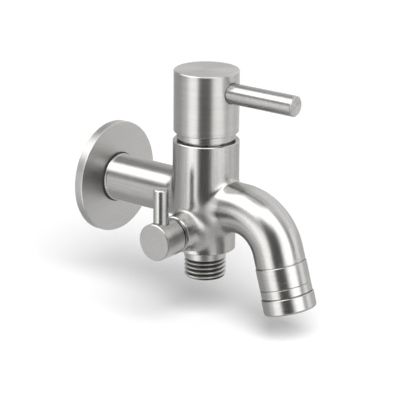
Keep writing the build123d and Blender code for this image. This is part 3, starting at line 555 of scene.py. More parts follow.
# %% [markdown]
# The spout is a round bar bent down through 74 degrees. A curve with a bevel would give
# the bend, but not the fillet at its root, so the bend is a grid too: rings of points
# whose centres follow a straight run, an arc and a straight tail.

# %% Spout
spout_r = 12.4
spout_run = 22.2
bend_r = 23.6
bend_turn = radians(74)
bend_rings = 41
spout_tail = 6.0
socket_floor = spout_tail - 5.5
channel_floor = -6.0
spout = Axis((0, barrel_y, -1.0), front, -left)
spout_reach, spout_loop = rolled(body, barrel_wall, spout, spout_r, fillet)
sleeved(body, spout, spout_r, spout_reach, spout_run)


def bent(skin, axis, radius, run, bend, turn, angles=branch_round):
    """Skin a bend.

    After turning by t the centre is run + bend * sin(t) along the heading and
    bend * (1 - cos(t)) down, and the ring has turned with it.
    """
    swing = np.linspace(0, turn, bend_rings)[:, None, None]
    heading = axis.heading * np.cos(swing) - axis.beside * np.sin(swing)
    beside = axis.beside * np.cos(swing) + axis.heading * np.sin(swing)
    centre = axis.origin + axis.heading * (run + bend * np.sin(swing))
    centre = centre - axis.beside * bend * (1 - np.cos(swing))
    ring = np.cos(angles)[:, None] * axis.across + np.sin(angles)[:, None] * beside
    skin.grid(centre + radius * ring, ring, turning_map(angles, run + bend * swing[:, :, 0]))
    return Axis(centre[-1, 0], heading[-1, 0], axis.across)


tail = bent(body, spout, spout_r, spout_run, bend_r, bend_turn)
spout_ends = Skin()
turned(
    spout_ends, tail, (spout_r, 0), (spout_r, spout_tail, 0.15), (11.0, spout_tail),
    (11.0, socket_floor), (10.0, socket_floor), (10.0, channel_floor), (0, channel_floor),
)
outlet = Axis(tail.origin + spout_tail * tail.heading, tail.heading, tail.across)
print("spout ends at", np.round(outlet.origin, 2))

# %% [markdown]
# The boss for the side valve leaves the barrel low on its left. With its joint the round
# wall of the barrel can be cut and skinned.

# %% Boss
boss_r = 9.2
boss_end = 25.2
side_z = -12.9
boss = Axis((0, barrel_y, side_z), left, front)
boss_reach, boss_loop = rolled(body, barrel_wall, boss, boss_r, fillet)
boss_straight = boss_end - 0.8
sleeved(body, boss, boss_r, boss_reach, boss_straight)
wall_heights = np.linspace(foot_z, shoulder_z, 81)
pierced(body, barrel_wall, wall_heights, [arm_loop, spout_loop, boss_loop])
print("patches of the casting so far", len(body.points))

# %% [markdown]
# A founder's pattern has no crisp joints: between the boss and the spout the three forms
# melt into one another. A Remesh modifier would melt them, and everything else too. Here
# the skin made so far is moved onto a soft union. For that, each form needs a function
# that gives a point's distance to it.

# %% Distances to the forms
def ramp(values, low, high):
    """0 at low, 1 at high, smooth between: 3 t ** 2 - 2 t ** 3."""
    share = np.clip((values - low) / (high - low), 0, 1)
    return share * share * (3 - 2 * share)


def branch_distance(axis, radius, points, start=8.0):
    """Distance to a straight branch that starts inside the barrel."""
    away = points - axis.origin
    along = np.maximum(away @ axis.heading, start)
    return np.linalg.norm(away - along[:, None] * axis.heading, axis=1) - radius


def spout_distance(points):
    """Distance to the straight part of the spout, or to its bend: a ring about a level line."""
    ahead = (points - spout.origin) @ front - spout_run
    height = (points - spout.origin) @ up + bend_r
    ring_gap = np.hypot(ahead, height) - bend_r
    bend = np.hypot(ring_gap, points[:, 0]) - spout_r
    return np.where(ahead > 0, bend, branch_distance(spout, spout_r, points))


def form_distances(points):
    """Distances to the barrel, the arm, the boss and the spout, one row each."""
    x, y, z = points.T
    return np.array([
        np.hypot(x, y - barrel_y) - barrel_wall.at(z)[0],
        branch_distance(arm, arm_r, points),
        branch_distance(boss, boss_r, points),
        spout_distance(points),
    ])


print("mm from the inlet to each form", np.round(form_distances(np.zeros((1, 3)))[:, 0], 1))

# %% [markdown]
# The soft minimum of the distances is -k * log(sum(exp(-distance / k))). Its zero surface
# follows each form and fills the corners between them, more where k is larger, which is
# low on the side that the boss and the spout share. Each point steps down the function's
# slope until it lies on that surface, and the slope gives its direction.

# %% Soft joints
crisp_joint = 0.8
soft_joint = 1.8
turned_away = -0.2
turned_to = 1.0
soft_below = -10
crisp_above = 10
steps_down = 6
probe = 1e-3


def soft_union(points):
    """The soft minimum of the four forms' distances."""
    x, y, z = points.T
    facing = (-x - y + barrel_y) / (np.sqrt(2) * barrel_r)
    melt = ramp(facing, turned_away, turned_to) * (1 - ramp(z, soft_below, crisp_above))
    k = crisp_joint + (soft_joint - crisp_joint) * melt
    return -k * np.log(np.exp(-form_distances(points) / k).sum(axis=0))


def melted(points, normals):
    """Points moved onto the soft union, except near the ends that other surfaces join."""
    near = 1 - ramp(np.hypot(points[:, 0], points[:, 1] - barrel_y), 24, 33)
    near *= (1 - ramp(-points[:, 0], 18, boss_straight)) * (1 - ramp(points[:, 2], 18, 26))
    near = (near * ramp(points[:, 2], foot_z, foot_z + 3.5))[:, None]
    spot = points
    for _ in range(steps_down):
        slope = np.stack([
            (soft_union(spot + step) - soft_union(spot - step)) / (2 * probe)
            for step in probe * np.eye(3)
        ], axis=1)
        fall = soft_union(spot) / np.sum(slope * slope, axis=1)
        spot = spot - fall[:, None] * slope
    return points + near * (spot - points), normals + near * (unit(slope) - normals)


shift = 0.0
for number, points in enumerate(body.points):
    moved, body.normals[number] = melted(points / mm, body.normals[number])
    shift = max(shift, np.linalg.norm(moved - points / mm, axis=1).max())
    body.points[number] = moved * mm
print("joints filled by up to", round(shift, 2), "mm")

# %% [markdown]
# The ends are added after that, because they are machined crisp. The barrel's foot takes
# the hose nipple in a shallow socket, and its mouth takes the valve and the ring nut. The
# finished casting also keeps, for each point, how far its corner is filled: a polishing
# wheel can't reach there, so the steel will be duller.

# %% Ends, foot and mouth
boss_hole_r = 7.2
boss_floor = 7.5
foot_hole_r = 7.5
foot_floor = -21
socket_r = 9.5
socket_top = -22
mouth_r = 13.7
mouth_step = 22
seat_r = 12.2
seat_floor = 3
turned(
    body, boss, (boss_r, boss_straight), (boss_r, boss_end - 0.5, 0.15),
    (boss_r - 0.5, boss_end, 0.15), (boss_hole_r, boss_end, 0.2), (boss_hole_r, boss_floor),
    (0, boss_floor),
)
turned(
    body, barrel, (0, foot_floor), (foot_hole_r, foot_floor), (foot_hole_r, socket_top),
    (socket_r, socket_top), (socket_r, bottom_z), (lower_r - edge, bottom_z, 0.12),
    (lower_r, bottom_z + edge, 0.12), (lower_r, foot_z), angles=fine_round,
)
turned(
    body, barrel, (barrel_r, shoulder_z), (barrel_r, top_z - rim_edge, rim_round),
    (barrel_r - rim_edge, top_z, rim_round), (14.4, top_z, 0.15), (mouth_r, top_z - 0.7),
    (mouth_r, mouth_step), (seat_r, mouth_step), (seat_r, seat_floor), (0, seat_floor),
    angles=fine_round,
)
for ends in (arm_ends, spout_ends):
    body.join(ends)
tap_body = body.make("body_casting")
spots = np.empty(3 * len(tap_body.data.vertices))
tap_body.data.vertices.foreach_get("co", spots)
filled = form_distances(spots.reshape(-1, 3) / mm).min(axis=0)
hardly = 0.05
fully = 0.8
corner = tap_body.data.attributes.new("corner", "FLOAT", "POINT")
corner.data.foreach_set("value", ramp(filled, hardly, fully))
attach(tap_body, "tap")
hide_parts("tap_body")

# %% [markdown]
# ## The wall flange
#
# The flange is a turned disc that hides the hole in the wall. It is hollow behind, so
# that only its rim and its hub touch the wall, and its front edge has a narrow chamfer
# that draws a bright line round it. A thin rubber seal lies between the flange and the
# arm and stands out a little past the arm's end. Its black ring is partly a real seal and
# partly painted shade for the narrow gap there.

# %% Flange
def lone(name, body_name, slot_name, node, axis, *corners, angles=branch_round):
    """A piece that is one closed outline turned round an axis."""
    skin = Skin()
    turned(skin, axis, *corners, angles=angles)
    return placed(skin.make(name), body_name, node)


def placed(piece, body_name, node):
    """Let a piece ride on its body and stand for its solid."""
    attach(piece, body_name)
    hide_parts(node)
    return piece


inlet = Axis((0, 0, 0), front, -left)
flange_r = 28.5
flange_front = 4.6
hollow_r = flange_r - 2.2
hollow_floor = 2.6
hub_r = 14.78
hub_hole_r = 10.78
flange = lone(
    "flange_plate", "tap", "satin_steel", "wall_flange", inlet,
    (flange_r - 1, 0), (flange_r, 0, 0.2), (flange_r, 3.85, 0.1),
    (flange_r - 0.3, flange_front, 0.15), (hub_hole_r, flange_front, 0.25),
    (hub_hole_r, 0, 0.2), (hub_r, 0, 0.2), (hub_r, hollow_floor, 0.4),
    (hollow_r, hollow_floor, 0.4), (hollow_r, 0, 0.2), (flange_r - 1, 0),
    angles=np.linspace(0, 2 * pi, 241),
)
seal_r = 12.8
seal_hole_r = 10.3
seal_low = 4.62
seal_high = 5.08
# partly painted shade: a real rubber seal, made to stand out past the arm so that its black ring
# also darkens the gap
seal = lone(
    "flange_seal_and_gap_shade", "tap", "black_rubber", "flange_seal", inlet,
    (11.6, seal_low), (seal_r, seal_low, 0.1), (seal_r, seal_high, 0.1),
    (seal_hole_r, seal_high), (seal_hole_r, seal_low), (11.6, seal_low),
)

# %% [markdown]
# ## The hose outlet
#
# A short nipple is screwed into the foot of the barrel. It has a plain neck and then a
# round-bottomed thread for a hose coupling. Its ridges stand 2.3 mm apart, as they do in
# the photograph.

# %% Nipple
down = Axis((0, barrel_y, 0), -up, left)
nipple_top = 23.0
collar_top = 25.5
neck_end = 29.9
nipple_end = 40.3
ridge_pitch = 2.3
ridge_depth = 1.3
spigot_r = 9.45
nipple = Skin()
turned(
    nipple, down, (thread_r - lead, nipple_end), (bore_r, nipple_end, 0.3),
    (bore_r, nipple_top), (spigot_r, nipple_top), (spigot_r, collar_top),
    (thread_r, collar_top, 0.2), (thread_r, neck_end),
)
threaded(nipple, down, neck_end, nipple_end, ridge_pitch, ridge_depth, round_groove)
nipple = placed(nipple.make("hose_nipple"), "tap", "outlet_nipple")

# %% [markdown]
# ## The end of the spout
#
# A sleeve is pushed into the spout's end, with one fine line turned round it, and a
# collar screwed to the sleeve holds the aerator. Both joints show as dark lines, because
# the parts stand 0.4 and 0.3 mm apart and each edge is broken a little. A line painted in
# the material would be simpler, but a real gap looks right from every side.

# %% Sleeve and collar
sleeve_r = 12.7
seam = 0.4
seam_floor = 11.8
line_at = 11.2
line = 0.3
sleeve_end = 15.65
collar_top_at = 15.93
shoulder_at = collar_top_at - 0.03
groove_floor = 12.0
male_r = 11.0
male_end = 18.95
plug_r = 10.95
plug_end = -5.2
sleeve_bore_r = 9.0
sleeve = lone(
    "spout_end_sleeve", "tap", "satin_steel", "spout_sleeve", outlet,
    (11.5, 0), (seam_floor, 0), (seam_floor, seam), (sleeve_r - edge, seam, 0.1),
    (sleeve_r, seam + edge, 0.1), (sleeve_r, line_at - line, 0.08),
    (sleeve_r - line, line_at, 0.05), (sleeve_r, line_at + line, 0.08),
    (sleeve_r, sleeve_end - line, 0.12), (sleeve_r - line, sleeve_end, 0.12),
    (groove_floor, sleeve_end), (groove_floor, shoulder_at), (male_r, shoulder_at),
    (male_r, male_end, 0.2), (sleeve_bore_r, male_end, 0.2), (sleeve_bore_r, plug_end),
    (plug_r, plug_end), (plug_r, 0), (11.5, 0),
)
collar_r = 13.15
collar_end = 23.95
lip_at = 22.75
lip_r = 9.6
female_r = 11.05
collar = lone(
    "aerator_ring", "tap", "satin_steel", "aerator_collar", outlet,
    (11.8, collar_top_at), (collar_r - edge, collar_top_at, 0.1),
    (collar_r, collar_top_at + edge, 0.1), (collar_r, collar_end, 1.3),
    (lip_r, collar_end, 0.35), (lip_r, lip_at), (female_r, lip_at),
    (female_r, collar_top_at), (11.8, collar_top_at),
)

# %% [markdown]
# ## The ring nut and the handle
#
# A ring nut clamps the valve in the barrel's mouth and shows as a narrow band under the
# handle, a little smaller than both, so it lies in their shadow. The handle is a turned
# head with a hole for its lever in front and a hole for a grub screw at the back.

# %% Ring nut
nut_r = 14.6
nut_low = 31.55
nut_high = 34.7
nut_hole_r = 7.2
skirt_r = 13.65
skirt_hole_r = 11.05
skirt_end = 24.5
ring_nut = lone(
    "ring_nut", "tap", "satin_steel", "bonnet_ring", barrel,
    (14.1, nut_low), (nut_r, nut_low, 0.15), (nut_r, nut_high, 0.3),
    (nut_hole_r, nut_high, 0.2), (nut_hole_r, nut_low), (skirt_hole_r, nut_low),
    (skirt_hole_r, skirt_end), (skirt_r, skirt_end), (skirt_r, nut_low), (14.1, nut_low),
    angles=fine_round,
)

# %% Handle head
head_r = 16.2
head_low = 35.0
head_high = 65.8
head_edge = 0.5
low_round = 0.3
wall_low = head_low + low_round
wall_high = head_high - head_edge - 0.2
head_wall = Wall(barrel, outline((head_r, wall_low), (head_r, wall_high)))
lever_z = 56.2
lever_r = 5.1
lever_axis = Axis((0, barrel_y, lever_z), front, -left)
screw_axis = Axis((0, barrel_y, 43.5), -front, left)


def pocket(skin, wall, axis, radius, mouth, floor, angles=small_round):
    """Skin a blind hole with a rounded mouth in a round wall, and return its loop."""
    reach, loop = rolled(skin, wall, axis, radius, mouth, -1, angles)
    level = reach.min() - 0.3
    sleeved(skin, axis, radius, reach, level, -1, angles)
    turned(skin, axis, (radius, level), (radius, floor), (0, floor), angles=angles)
    return loop


head = Skin()
lever_loop = pocket(head, head_wall, lever_axis, lever_r + 0.1, 0.2, 13.0, branch_round)
screw_loop = pocket(head, head_wall, screw_axis, 2.5, 0.2, 9.0)
turned(
    head, barrel, (0, 37.5), (9.0, 37.5), (9.0, head_low, 0.2), (head_r, head_low, low_round),
    (head_r, wall_low), angles=fine_round,
)
turned(
    head, barrel, (head_r, wall_high), (head_r, head_high - head_edge, 0.12),
    (head_r - head_edge, head_high, 0.12), (0, head_high), angles=fine_round,
)
pierced(head, head_wall, np.linspace(wall_low, wall_high, 33), [lever_loop, screw_loop])
head = placed(head.make("handle_drum"), "main_handle", "handle_head")

# %% [markdown]
# The lever is a plain round rod with a narrow chamfer, and so is the pin on the knob.
# What makes such a rod look right is the light that runs along it and the ring of light
# on its end, so both edges of the chamfer are rounded.

# %% Lever
rod_edge = 0.5
lever_start = 13.05
lever_end = 53.5
lever = lone(
    "lever_bar", "main_handle", "turned_steel", "lever_rod", lever_axis,
    (0, lever_start), (lever_r, lever_start), (lever_r, lever_end - rod_edge, 0.15),
    (lever_r - rod_edge, lever_end, 0.15), (0, lever_end), angles=small_round,
)

# %% Side knob and its pin
knob_r = 9.2
knob_low = 27.3
knob_high = 40.7
knob_edge = 0.5
knob_wall_low = knob_low + knob_edge + 0.2
knob_wall_high = knob_high - knob_edge - 0.2
knob_wall = Wall(boss, outline((knob_r, knob_wall_low), (knob_r, knob_wall_high)))
pin_at = 35.2
pin_axis = Axis((-pin_at, barrel_y, side_z), up, left)
knob_screw_axis = Axis((-31.9, barrel_y, side_z), -up, left)
knob = Skin()
pin_loop = pocket(knob, knob_wall, pin_axis, 3.82, 0.12, 6.8)
knob_screw_loop = pocket(knob, knob_wall, knob_screw_axis, 1.25, 0.1, 5.9)
turned(
    knob, boss, (0, 30.3), (5.4, 30.3), (5.4, knob_low, 0.2),
    (knob_r - knob_edge, knob_low, 0.12), (knob_r, knob_low + knob_edge, 0.12),
    (knob_r, knob_wall_low), angles=fine_round,
)
turned(
    knob, boss, (knob_r, knob_wall_high), (knob_r, knob_high - knob_edge, 0.12),
    (knob_r - knob_edge, knob_high, 0.12), (0, knob_high), angles=fine_round,
)
knob_heights = np.linspace(knob_wall_low, knob_wall_high, 25)
pierced(knob, knob_wall, knob_heights, [pin_loop, knob_screw_loop])
knob = placed(knob.make("side_valve_knob"), "side_handle", "side_knob")
pin_r = 3.72
pin_start = 6.85
pin_top = 26.05
pin = lone(
    "side_valve_pin", "side_handle", "turned_steel", "knob_stem", pin_axis,
    (0, pin_start), (pin_r, pin_start), (pin_r, pin_top - rod_edge, 0.15),
    (pin_r - rod_edge, pin_top, 0.15), (0, pin_top), angles=small_round,
)

# %% [markdown]
# ## Shader maths
#
# A finish is a recipe of nodes. Written out by hand, even a * b + c takes three nodes and
# four links, so one small class wraps a socket and lets Python's own operators add the
# Math nodes. Every other node comes from one method that takes the node's type, its
# settings and what goes into its sockets.

# %% Sockets that do sums
class Value:
    """A socket of a node tree. Sums with it add Math nodes and give a new Value."""

    def __init__(self, recipe, socket):
        self.recipe = recipe
        self.socket = socket

    def sum(self, operation, first, second=0.0):
        """One Math node."""
        return self.recipe.node("ShaderNodeMath", {"operation": operation}, {0: first, 1: second})

    def __add__(self, other):
        return self.sum("ADD", self, other)

    def __sub__(self, other):
        return self.sum("SUBTRACT", self, other)

    def __rsub__(self, other):
        return self.sum("SUBTRACT", other, self)

    def __mul__(self, other):
        return self.sum("MULTIPLY", self, other)

    def part(self, letter):
        """One number of a vector."""
        return self.recipe.node("ShaderNodeSeparateXYZ", None, {"Vector": self}, out=letter)

    def cosine(self):
        return self.sum("COSINE", self)

    def sine(self):
        return self.sum("SINE", self)

    def root(self):
        return self.sum("SQRT", self)

    def between(self, low, high):
        """0 below low, 1 above high, smooth between."""
        settings = {"interpolation_type": "SMOOTHSTEP"}
        sockets = {"Value": self, "From Min": low, "From Max": high}
        return self.recipe.node("ShaderNodeMapRange", settings, sockets)

    __radd__ = __add__
    __rmul__ = __mul__


class Recipe:
    """The node tree of a material or a world."""

    def __init__(self, owner):
        owner.use_nodes = True
        self.owner = owner
        self.tree = owner.node_tree
        self.tree.nodes.clear()

    def node(self, kind, settings=None, sockets=None, out=0):
        """Add a node: its type, its settings, what its sockets take. Returns one output."""
        node = self.tree.nodes.new(kind)
        for name, setting in (settings or {}).items():
            setattr(node, name, setting)
        for name, given in (sockets or {}).items():
            if isinstance(given, Value):
                self.tree.links.new(given.socket, node.inputs[name])
            else:
                node.inputs[name].default_value = given
        return Value(self, node.outputs[out])

    def mixed(self, share, first, second):
        """One colour, then another, by share."""
        settings = {"data_type": "RGBA"}
        return self.node("ShaderNodeMix", settings, {0: share, 6: first, 7: second}, out=2)

    def noise(self, vector, scale, detail=2.0, roughness=0.5):
        """Soft random values about a half."""
        sockets = {"Vector": vector, "Scale": scale, "Detail": detail, "Roughness": roughness}
        return self.node("ShaderNodeTexNoise", None, sockets)

    def bump(self, distance, height):
        """Tip the surface as if it stood out by distance, in metres, times height."""
        sockets = {"Strength": 1.0, "Distance": distance, "Height": height}
        return self.node("ShaderNodeBump", None, sockets)

    def end(self, shader, kind="ShaderNodeOutputMaterial"):
        """Lead a shader to the output."""
        output = self.tree.nodes.new(kind)
        self.tree.links.new(shader.socket, output.inputs["Surface"])


def material(name):
    """An empty recipe for a new material."""
    return Recipe(bpy.data.materials.new(name))

# %% [markdown]
# ## Brushed and turned steel
#
# Satin steel is drawn along a polishing belt, or turned against a fibre wheel, and each
# leaves its own fine lines: along the form, or in rings round it. They are too fine to
# see one by one, but they give the surface a direction. An image of scratches would do
# the same in one picture. Here it is noise that is stretched along the lines and tight
# across them, which tips the surface very slightly and shades its colour and gloss. The
# map's first number gives the way round, as a cosine and a sine so that it has no seam,
# and the second gives the way along.

# %% Spaces for grain
def mapped_lines(recipe, around, along):
    """The piece's own map as a space to draw lines in: so many round it, so many a metre."""
    place = recipe.node("ShaderNodeTexCoord", out="UV")
    turn = place.part("X") * (2 * pi)
    ring = {"X": turn.cosine() * around, "Y": turn.sine() * around, "Z": place.part("Y") * along}
    return recipe.node("ShaderNodeCombineXYZ", None, ring)


def level_lines(recipe, along, across):
    """A space stretched sideways, so that what is drawn in it lies level on the wall."""
    place = recipe.node("ShaderNodeTexCoord", out="Object")
    spot = {"X": place.part("X") * along}
    for letter in "YZ":
        spot[letter] = place.part(letter) * across
    return recipe.node("ShaderNodeCombineXYZ", None, spot)


# %% [markdown]
# Real steel is never even. Besides the grain, soft clouds a centimetre or two wide vary
# the gloss, and specks under a millimetre break up the highlights. The corners that a
# wheel can't reach are rougher. Where the gloss itself has a direction, as on the head's
# turned face, the shader's own anisotropy draws its highlights out into a cone of light.

# %% Steel recipe
steel_tint = (1.012, 1.0, 0.976)
quarter_turn = 0.25
broad = 0.22
cloud_scale = 55.0
speck_scale = 1100.0
speck_height = 0.4
uneven_gloss = 0.08
corner_dulling = 0.16


def steel(name, space, scales, roughness, ripple, contrast, tone=0.405, rim=0.75, drawn=0.0):
    """Brushed steel whose grain is noise in one of the two spaces above.

    Its shade is a weighted sum of four noises, and its roughness the given one plus the
    noises' distance from a half and what the wheel left in the corners.
    """
    recipe = material(name)
    lines = space(recipe, *scales)
    place = recipe.node("ShaderNodeTexCoord", out="Object")
    grain = recipe.noise(lines, 1.0, 2.0, 0.6)
    broad_grain = recipe.noise(lines, broad, 1.0)
    cloud = recipe.noise(place, cloud_scale, 3.0, 0.55)
    speck = recipe.noise(place, speck_scale, 1.0)
    shade = grain * 0.4 + broad_grain * 0.25 + cloud * 0.15 + speck * 0.2
    corner = recipe.node("ShaderNodeAttribute", {"attribute_name": "corner"}, out="Fac")
    play = (cloud - 0.5) * uneven_gloss + (grain - 0.5) * uneven_gloss
    dull = [tone * (1 - contrast / 2) * share for share in steel_tint]
    bright = [tone * (1 + contrast / 2) * share for share in steel_tint]
    recipe.end(recipe.node("ShaderNodeBsdfPrincipled", None, {
        "Base Color": recipe.mixed(shade.between(0.3, 0.7), (*dull, 1), (*bright, 1)),
        "Metallic": 1.0,
        "Specular Tint": (rim, rim, rim, 1),
        "Roughness": play + corner * corner_dulling + roughness,
        "Anisotropic": drawn,
        "Anisotropic Rotation": quarter_turn,
        "Normal": recipe.bump(ripple, grain + speck * speck_height),
    }))
    return recipe.owner


satin_steel = steel("drawn_satin", mapped_lines, (20.0, 40.0), 0.235, 4e-6, 0.28)
rod_steel = steel("rod_satin", mapped_lines, (3.0, 6.0), 0.24, 3e-5, 0.4, tone=0.41)
turned_steel = steel("turned_satin", mapped_lines, (1.2, 1300.0), 0.25, 1.5e-6, 0.16)
faced_steel = steel(
    "faced_satin", mapped_lines, (1.6, 2000.0), 0.31, 3e-7, 0.16, tone=0.395, rim=1.0, drawn=0.7)
level_steel = steel("level_satin", level_lines, (90.0, 1300.0), 0.38, 1.5e-6, 0.13, rim=1.0)
print("steels", [made.name for made in bpy.data.materials if "satin" in made.name])

# %% [markdown]
# The grooves of the hose thread get painted shade: their base colour is dark, as if little
# light reached down into them, and the crests keep the steel's own tone. So its steel looks
# at how far a spot lies from the barrel's axis, and fades from dark to bright between the
# root and the crest.

# %% Threaded steel
# painted shade: the colour of the thread's grooves, much darker than the steel
groove_painted_shade = (0.085, 0.083, 0.079, 1)
crest_colour = (0.43, 0.425, 0.415, 1)
root_depth = 1.15
crest_depth = 0.15


def painted_groove_shade_steel(name):
    """Turned steel with painted shade down in the thread's grooves.

    A spot's distance from the barrel's axis is sqrt(x ** 2 + y ** 2).
    """
    recipe = material(name)
    place = recipe.node("ShaderNodeTexCoord", out="Object")
    x = place.part("X")
    y = place.part("Y") - barrel_y * mm
    away = (x * x + y * y).root()
    # painted shade: the base colour darkens from the crest down to the root of each groove
    crest = away.between((thread_r - root_depth) * mm, (thread_r - crest_depth) * mm)
    speck = recipe.noise(place, speck_scale, 2.0)
    recipe.end(recipe.node("ShaderNodeBsdfPrincipled", None, {
        "Base Color": recipe.mixed(crest, groove_painted_shade, crest_colour),
        "Metallic": 1.0,
        "Roughness": (speck - 0.5) * 0.1 + 0.36,
        "Normal": recipe.bump(2e-6, speck),
    }))
    return recipe.owner


nipple_steel_painted_shade = painted_groove_shade_steel("thread_satin_painted_shade")
print("thread steel has", len(nipple_steel_painted_shade.node_tree.nodes), "nodes")

# %% [markdown]
# ## The inner parts
#
# The solids that stay are seen only at the outlet, in the screw holes and in the gap
# under the handle. They have no map, so their finishes read the object's own coordinates.
# Each one still gets its own grain: turned brass, lapped ceramic, moulded rubber and
# plastic, blackened spring steel and etched gauze.

# %% Finishes by place
def plain_finish(name, colour, other_colour, metallic, roughness, grain, scale):
    """A finish whose cloudy colour and fine bump read Object coordinates."""
    recipe = material(name)
    spot = recipe.node("ShaderNodeTexCoord", out="Object")
    cloud = recipe.noise(spot, scale * 0.2, 2.0)
    fine = recipe.noise(spot, scale, 4.0, 0.6)
    shade = cloud.between(0.35, 0.65)
    recipe.end(recipe.node("ShaderNodeBsdfPrincipled", None, {
        "Base Color": recipe.mixed(shade, (*other_colour, 1), (*colour, 1)),
        "Metallic": metallic,
        "Roughness": (fine - 0.5) * 0.15 + roughness,
        "Normal": recipe.bump(grain, fine),
    }))
    return recipe.owner


finishes = {
    "satin_steel": satin_steel,
    "turned_steel": plain_finish(
        "turned_steel_inside", (0.50, 0.492, 0.48), (0.45, 0.442, 0.43), 1.0, 0.25, 4e-6, 2400),
    "brass": plain_finish(
        "machined_brass", (0.72, 0.50, 0.22), (0.64, 0.43, 0.18), 1.0, 0.28, 5e-6, 1500),
    "ceramic": plain_finish(
        "lapped_ceramic", (0.88, 0.86, 0.80), (0.84, 0.82, 0.76), 0.0, 0.2, 2e-6, 900),
    "black_rubber": plain_finish(
        "moulded_rubber", (0.028, 0.028, 0.028), (0.02, 0.02, 0.02), 0.0, 0.6, 2e-5, 1800),
    "spring_steel": plain_finish(
        "blackened_steel", (0.09, 0.088, 0.085), (0.06, 0.06, 0.06), 1.0, 0.4, 8e-6, 1600),
    "white_plastic": plain_finish(
        "moulded_plastic", (0.80, 0.80, 0.77), (0.76, 0.76, 0.73), 0.0, 0.42, 1e-5, 1200),
    "gauze_steel": plain_finish(
        "etched_gauze", (0.42, 0.415, 0.40), (0.36, 0.355, 0.34), 1.0, 0.35, 1e-5, 2600),
}
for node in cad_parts.values():
    for material_slot in node.material_slots:
        material_slot.material = finishes[material_slot.material.name.split(".")[0]]
print("finishes", sorted(finishes))

# %% [markdown]
# The pieces made here get their finishes one by one: the casting is drawn along its
# forms, the wall flange brushed level, the two rods polished softer, and the other turned
# parts ringed. The head and the knob are faced, so their flat ends gleam in a cone.

# %% Finishes of the new pieces
tap_body.data.materials.append(satin_steel)
flange.data.materials.append(level_steel)
seal.data.materials.append(finishes["black_rubber"])
nipple.data.materials.append(nipple_steel_painted_shade)
for piece in (sleeve, collar, ring_nut):
    piece.data.materials.append(turned_steel)
for piece in (lever, pin):
    piece.data.materials.append(rod_steel)
for piece in (head, knob):
    piece.data.materials.append(faced_steel)
print("the head wears", head.data.materials[0].name)

# %% [markdown]
# ## Studio
#
# Polished metal shows the room more than it shows itself. Product photographers hang
# white sheets where they want a bright band and black card where they want a dark one.
# The same is done here: each card is a curved sheet round the tap, set by its bearing
# from the camera and its height above the horizon, with soft edges. A nearer card covers
# one farther out, so a narrow dark one in front draws a fine line in a bright band. Only
# reflections see the cards, so they don't stand in the picture or cast shadows. The wall
# flange is kept out of reflections and shadows, because the photograph shows neither.

# %% Cards
white = (1, 1, 1, 1)
card_columns = 25
card_rows = 17
soft_ends = 0.2


def sheet_material(name, glow, soft):
    """Light of one strength that fades out over a share of the sheet at each side."""
    recipe = material(name)
    place = recipe.node("ShaderNodeTexCoord", out="UV")
    across, tall = place.part("X"), place.part("Y")
    fade = across.between(0.0, soft) * (1 - across).between(0.0, soft)
    fade = fade * tall.between(0.0, soft_ends) * (1 - tall).between(0.0, soft_ends)
    light = recipe.node("ShaderNodeEmission", None, {"Color": white, "Strength": glow})
    clear = recipe.node("ShaderNodeBsdfTransparent")
    recipe.end(recipe.node("ShaderNodeMixShader", None, {0: fade, 1: clear, 2: light}))
    return recipe.owner


def card(name, bearings, heights, away, glow, soft=0.2):
    """A patch of a sphere round the tap.

    A point is away * (cos(height) * (cos(bearing) * towards + sin(bearing) * rightwards)
    + sin(height) * up), with bearings counted from the camera, rightwards positive.
    """
    bearing = np.radians(np.linspace(*bearings, card_columns))
    height = np.radians(np.linspace(*heights, card_rows))
    bearing, height = np.meshgrid(bearing, height)
    towards = unit(np.array([backward.x, backward.y, 0]))
    rightwards = np.array(sideways)
    flat = np.cos(bearing)[..., None] * towards + np.sin(bearing)[..., None] * rightwards
    points = np.cos(height)[..., None] * flat + np.sin(height)[..., None] * up
    points = points * away + np.array([0, barrel_y * mm, 0])
    number = np.arange(card_rows * card_columns).reshape(card_rows, card_columns)
    faces = np.stack([number[:-1, :-1], number[:-1, 1:], number[1:, 1:], number[1:, :-1]], axis=-1)
    mesh = bpy.data.meshes.new(name)
    mesh.from_pydata(points.reshape(-1, 3).tolist(), [], faces.reshape(-1, 4).tolist())
    maps = np.meshgrid(np.linspace(0, 1, card_columns), np.linspace(0, 1, card_rows))
    maps = np.stack(maps, axis=-1)
    layer = mesh.uv_layers.new(name="sheet")
    layer.data.foreach_set("uv", maps.reshape(-1, 2)[faces.reshape(-1)].ravel())
    mesh.materials.append(sheet_material(name, glow, soft))
    sheet = added(name, mesh)
    sheet.visible_camera = False
    sheet.visible_diffuse = False
    sheet.visible_transmission = False
    sheet.visible_shadow = False
    print(name, "hangs", away, "m away")


# %% Hanging the cards
card("card_dark_front", (-35, 23), (-45, 50), 1.3, 0.115)
card("card_arm_line", (-105, -60), (12, 28), 1.32, 0.3)
card("card_grey_back", (-182, -110), (20, 66), 1.35, 0.42, 0.34)
card("card_grey_side", (-180, -84), (-60, 12), 1.36, 0.62)
card("card_edge_line", (61, 80), (-8, 74), 1.37, 0.36)
card("sheet_edge", (74, 110), (-12, 30), 1.38, 1.7, 0.4)
card("sheet_back", (80, 180), (0, 70), 1.4, 1.4)
card("sheet_strip", (84, 118), (-50, 2), 1.42, 1.1, 0.35)
card("sheet_left", (-78, -16), (-52, 18), 1.45, 2.25, 0.36)
card("sheet_right", (10, 79), (-20, 48), 1.5, 2.8, 0.4)
card("sheet_top", (-162, 85), (27, 78), 1.55, 3.3)
card("card_grey_below", (-180, 180), (-89, -43), 1.6, 0.76)
flange.visible_glossy = False
flange.visible_shadow = False

# %% [markdown]
# The floor is a pale plain sheet just under the tap. For the camera it adds a little
# light of its own, so that it reads as white paper where nothing shades it, and it still
# takes the tap's soft shadow. It is clear from below.

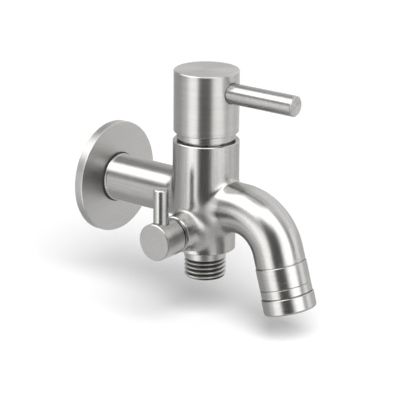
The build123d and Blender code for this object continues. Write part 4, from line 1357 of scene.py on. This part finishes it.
# %% Floor
floor_z = -62.5
floor_half = 4.0
paper_colour = (0.8, 0.8, 0.8, 1)
paper_glow = 0.2
floor_mesh = bpy.data.meshes.new("floor")
floor_corners = [(-1, -1), (1, -1), (1, 1), (-1, 1)]
floor_mesh.from_pydata(
    [(x * floor_half, y * floor_half, floor_z * mm) for x, y in floor_corners], [], [(0, 1, 2, 3)])
floor_recipe = material("floor_paper")
ray = "ShaderNodeLightPath"
seen = floor_recipe.node(ray, out="Is Camera Ray")
paper = floor_recipe.node("ShaderNodeBsdfDiffuse", None, {"Color": paper_colour})
glow_sockets = {"Color": white, "Strength": seen * paper_glow}
glow = floor_recipe.node("ShaderNodeEmission", None, glow_sockets)
lit_paper = floor_recipe.node("ShaderNodeAddShader", None, {0: paper, 1: glow})
below = floor_recipe.node("ShaderNodeNewGeometry", out="Backfacing")
clear = floor_recipe.node("ShaderNodeBsdfTransparent")
floor_recipe.end(floor_recipe.node("ShaderNodeMixShader", None, {0: below, 1: lit_paper, 2: clear}))
floor_mesh.materials.append(floor_recipe.owner)
floor = added("floor", floor_mesh)
floor.visible_glossy = False
print("the floor lies at", floor_z, "mm")

# %% [markdown]
# The camera and reflections see a white room, where a strength of 1 is white. The light
# that the room gives matt surfaces is weaker, so that the one lamp still casts a shadow.
# The lamp is broad and hangs high in front and to the left. Reflections don't see it,
# because the sheets already draw the highlights.

# %% Room and lamp
lamp_strength = 2.95
lamp_width = radians(38)
lamp_spot = (-0.68, -0.82, 1.08)
room = bpy.data.worlds.new("room")
room_recipe = Recipe(room)
direct = room_recipe.node(ray, out="Is Camera Ray") + room_recipe.node(ray, out="Is Glossy Ray")
direct = direct + room_recipe.node(ray, out="Is Transmission Ray")
ambient = 0.36
strength = direct.between(0.0, 1.0) * (1 - ambient) + ambient
room_sockets = {"Color": white, "Strength": strength}
background = room_recipe.node("ShaderNodeBackground", None, room_sockets)
room_recipe.end(background, "ShaderNodeOutputWorld")
bpy.context.scene.world = room
lamp_data = bpy.data.lights.new("ceiling_light", "SUN")
lamp_data.energy = lamp_strength
lamp_data.angle = lamp_width
lamp = added("ceiling_light", lamp_data)
lamp.location = lamp_spot
lamp.rotation_mode = "QUATERNION"
lamp.rotation_quaternion = (aim - lamp.location).to_track_quat("-Z", "Y")
lamp.visible_glossy = False
print("the lamp hangs", round(lamp.location.z, 2), "m up")
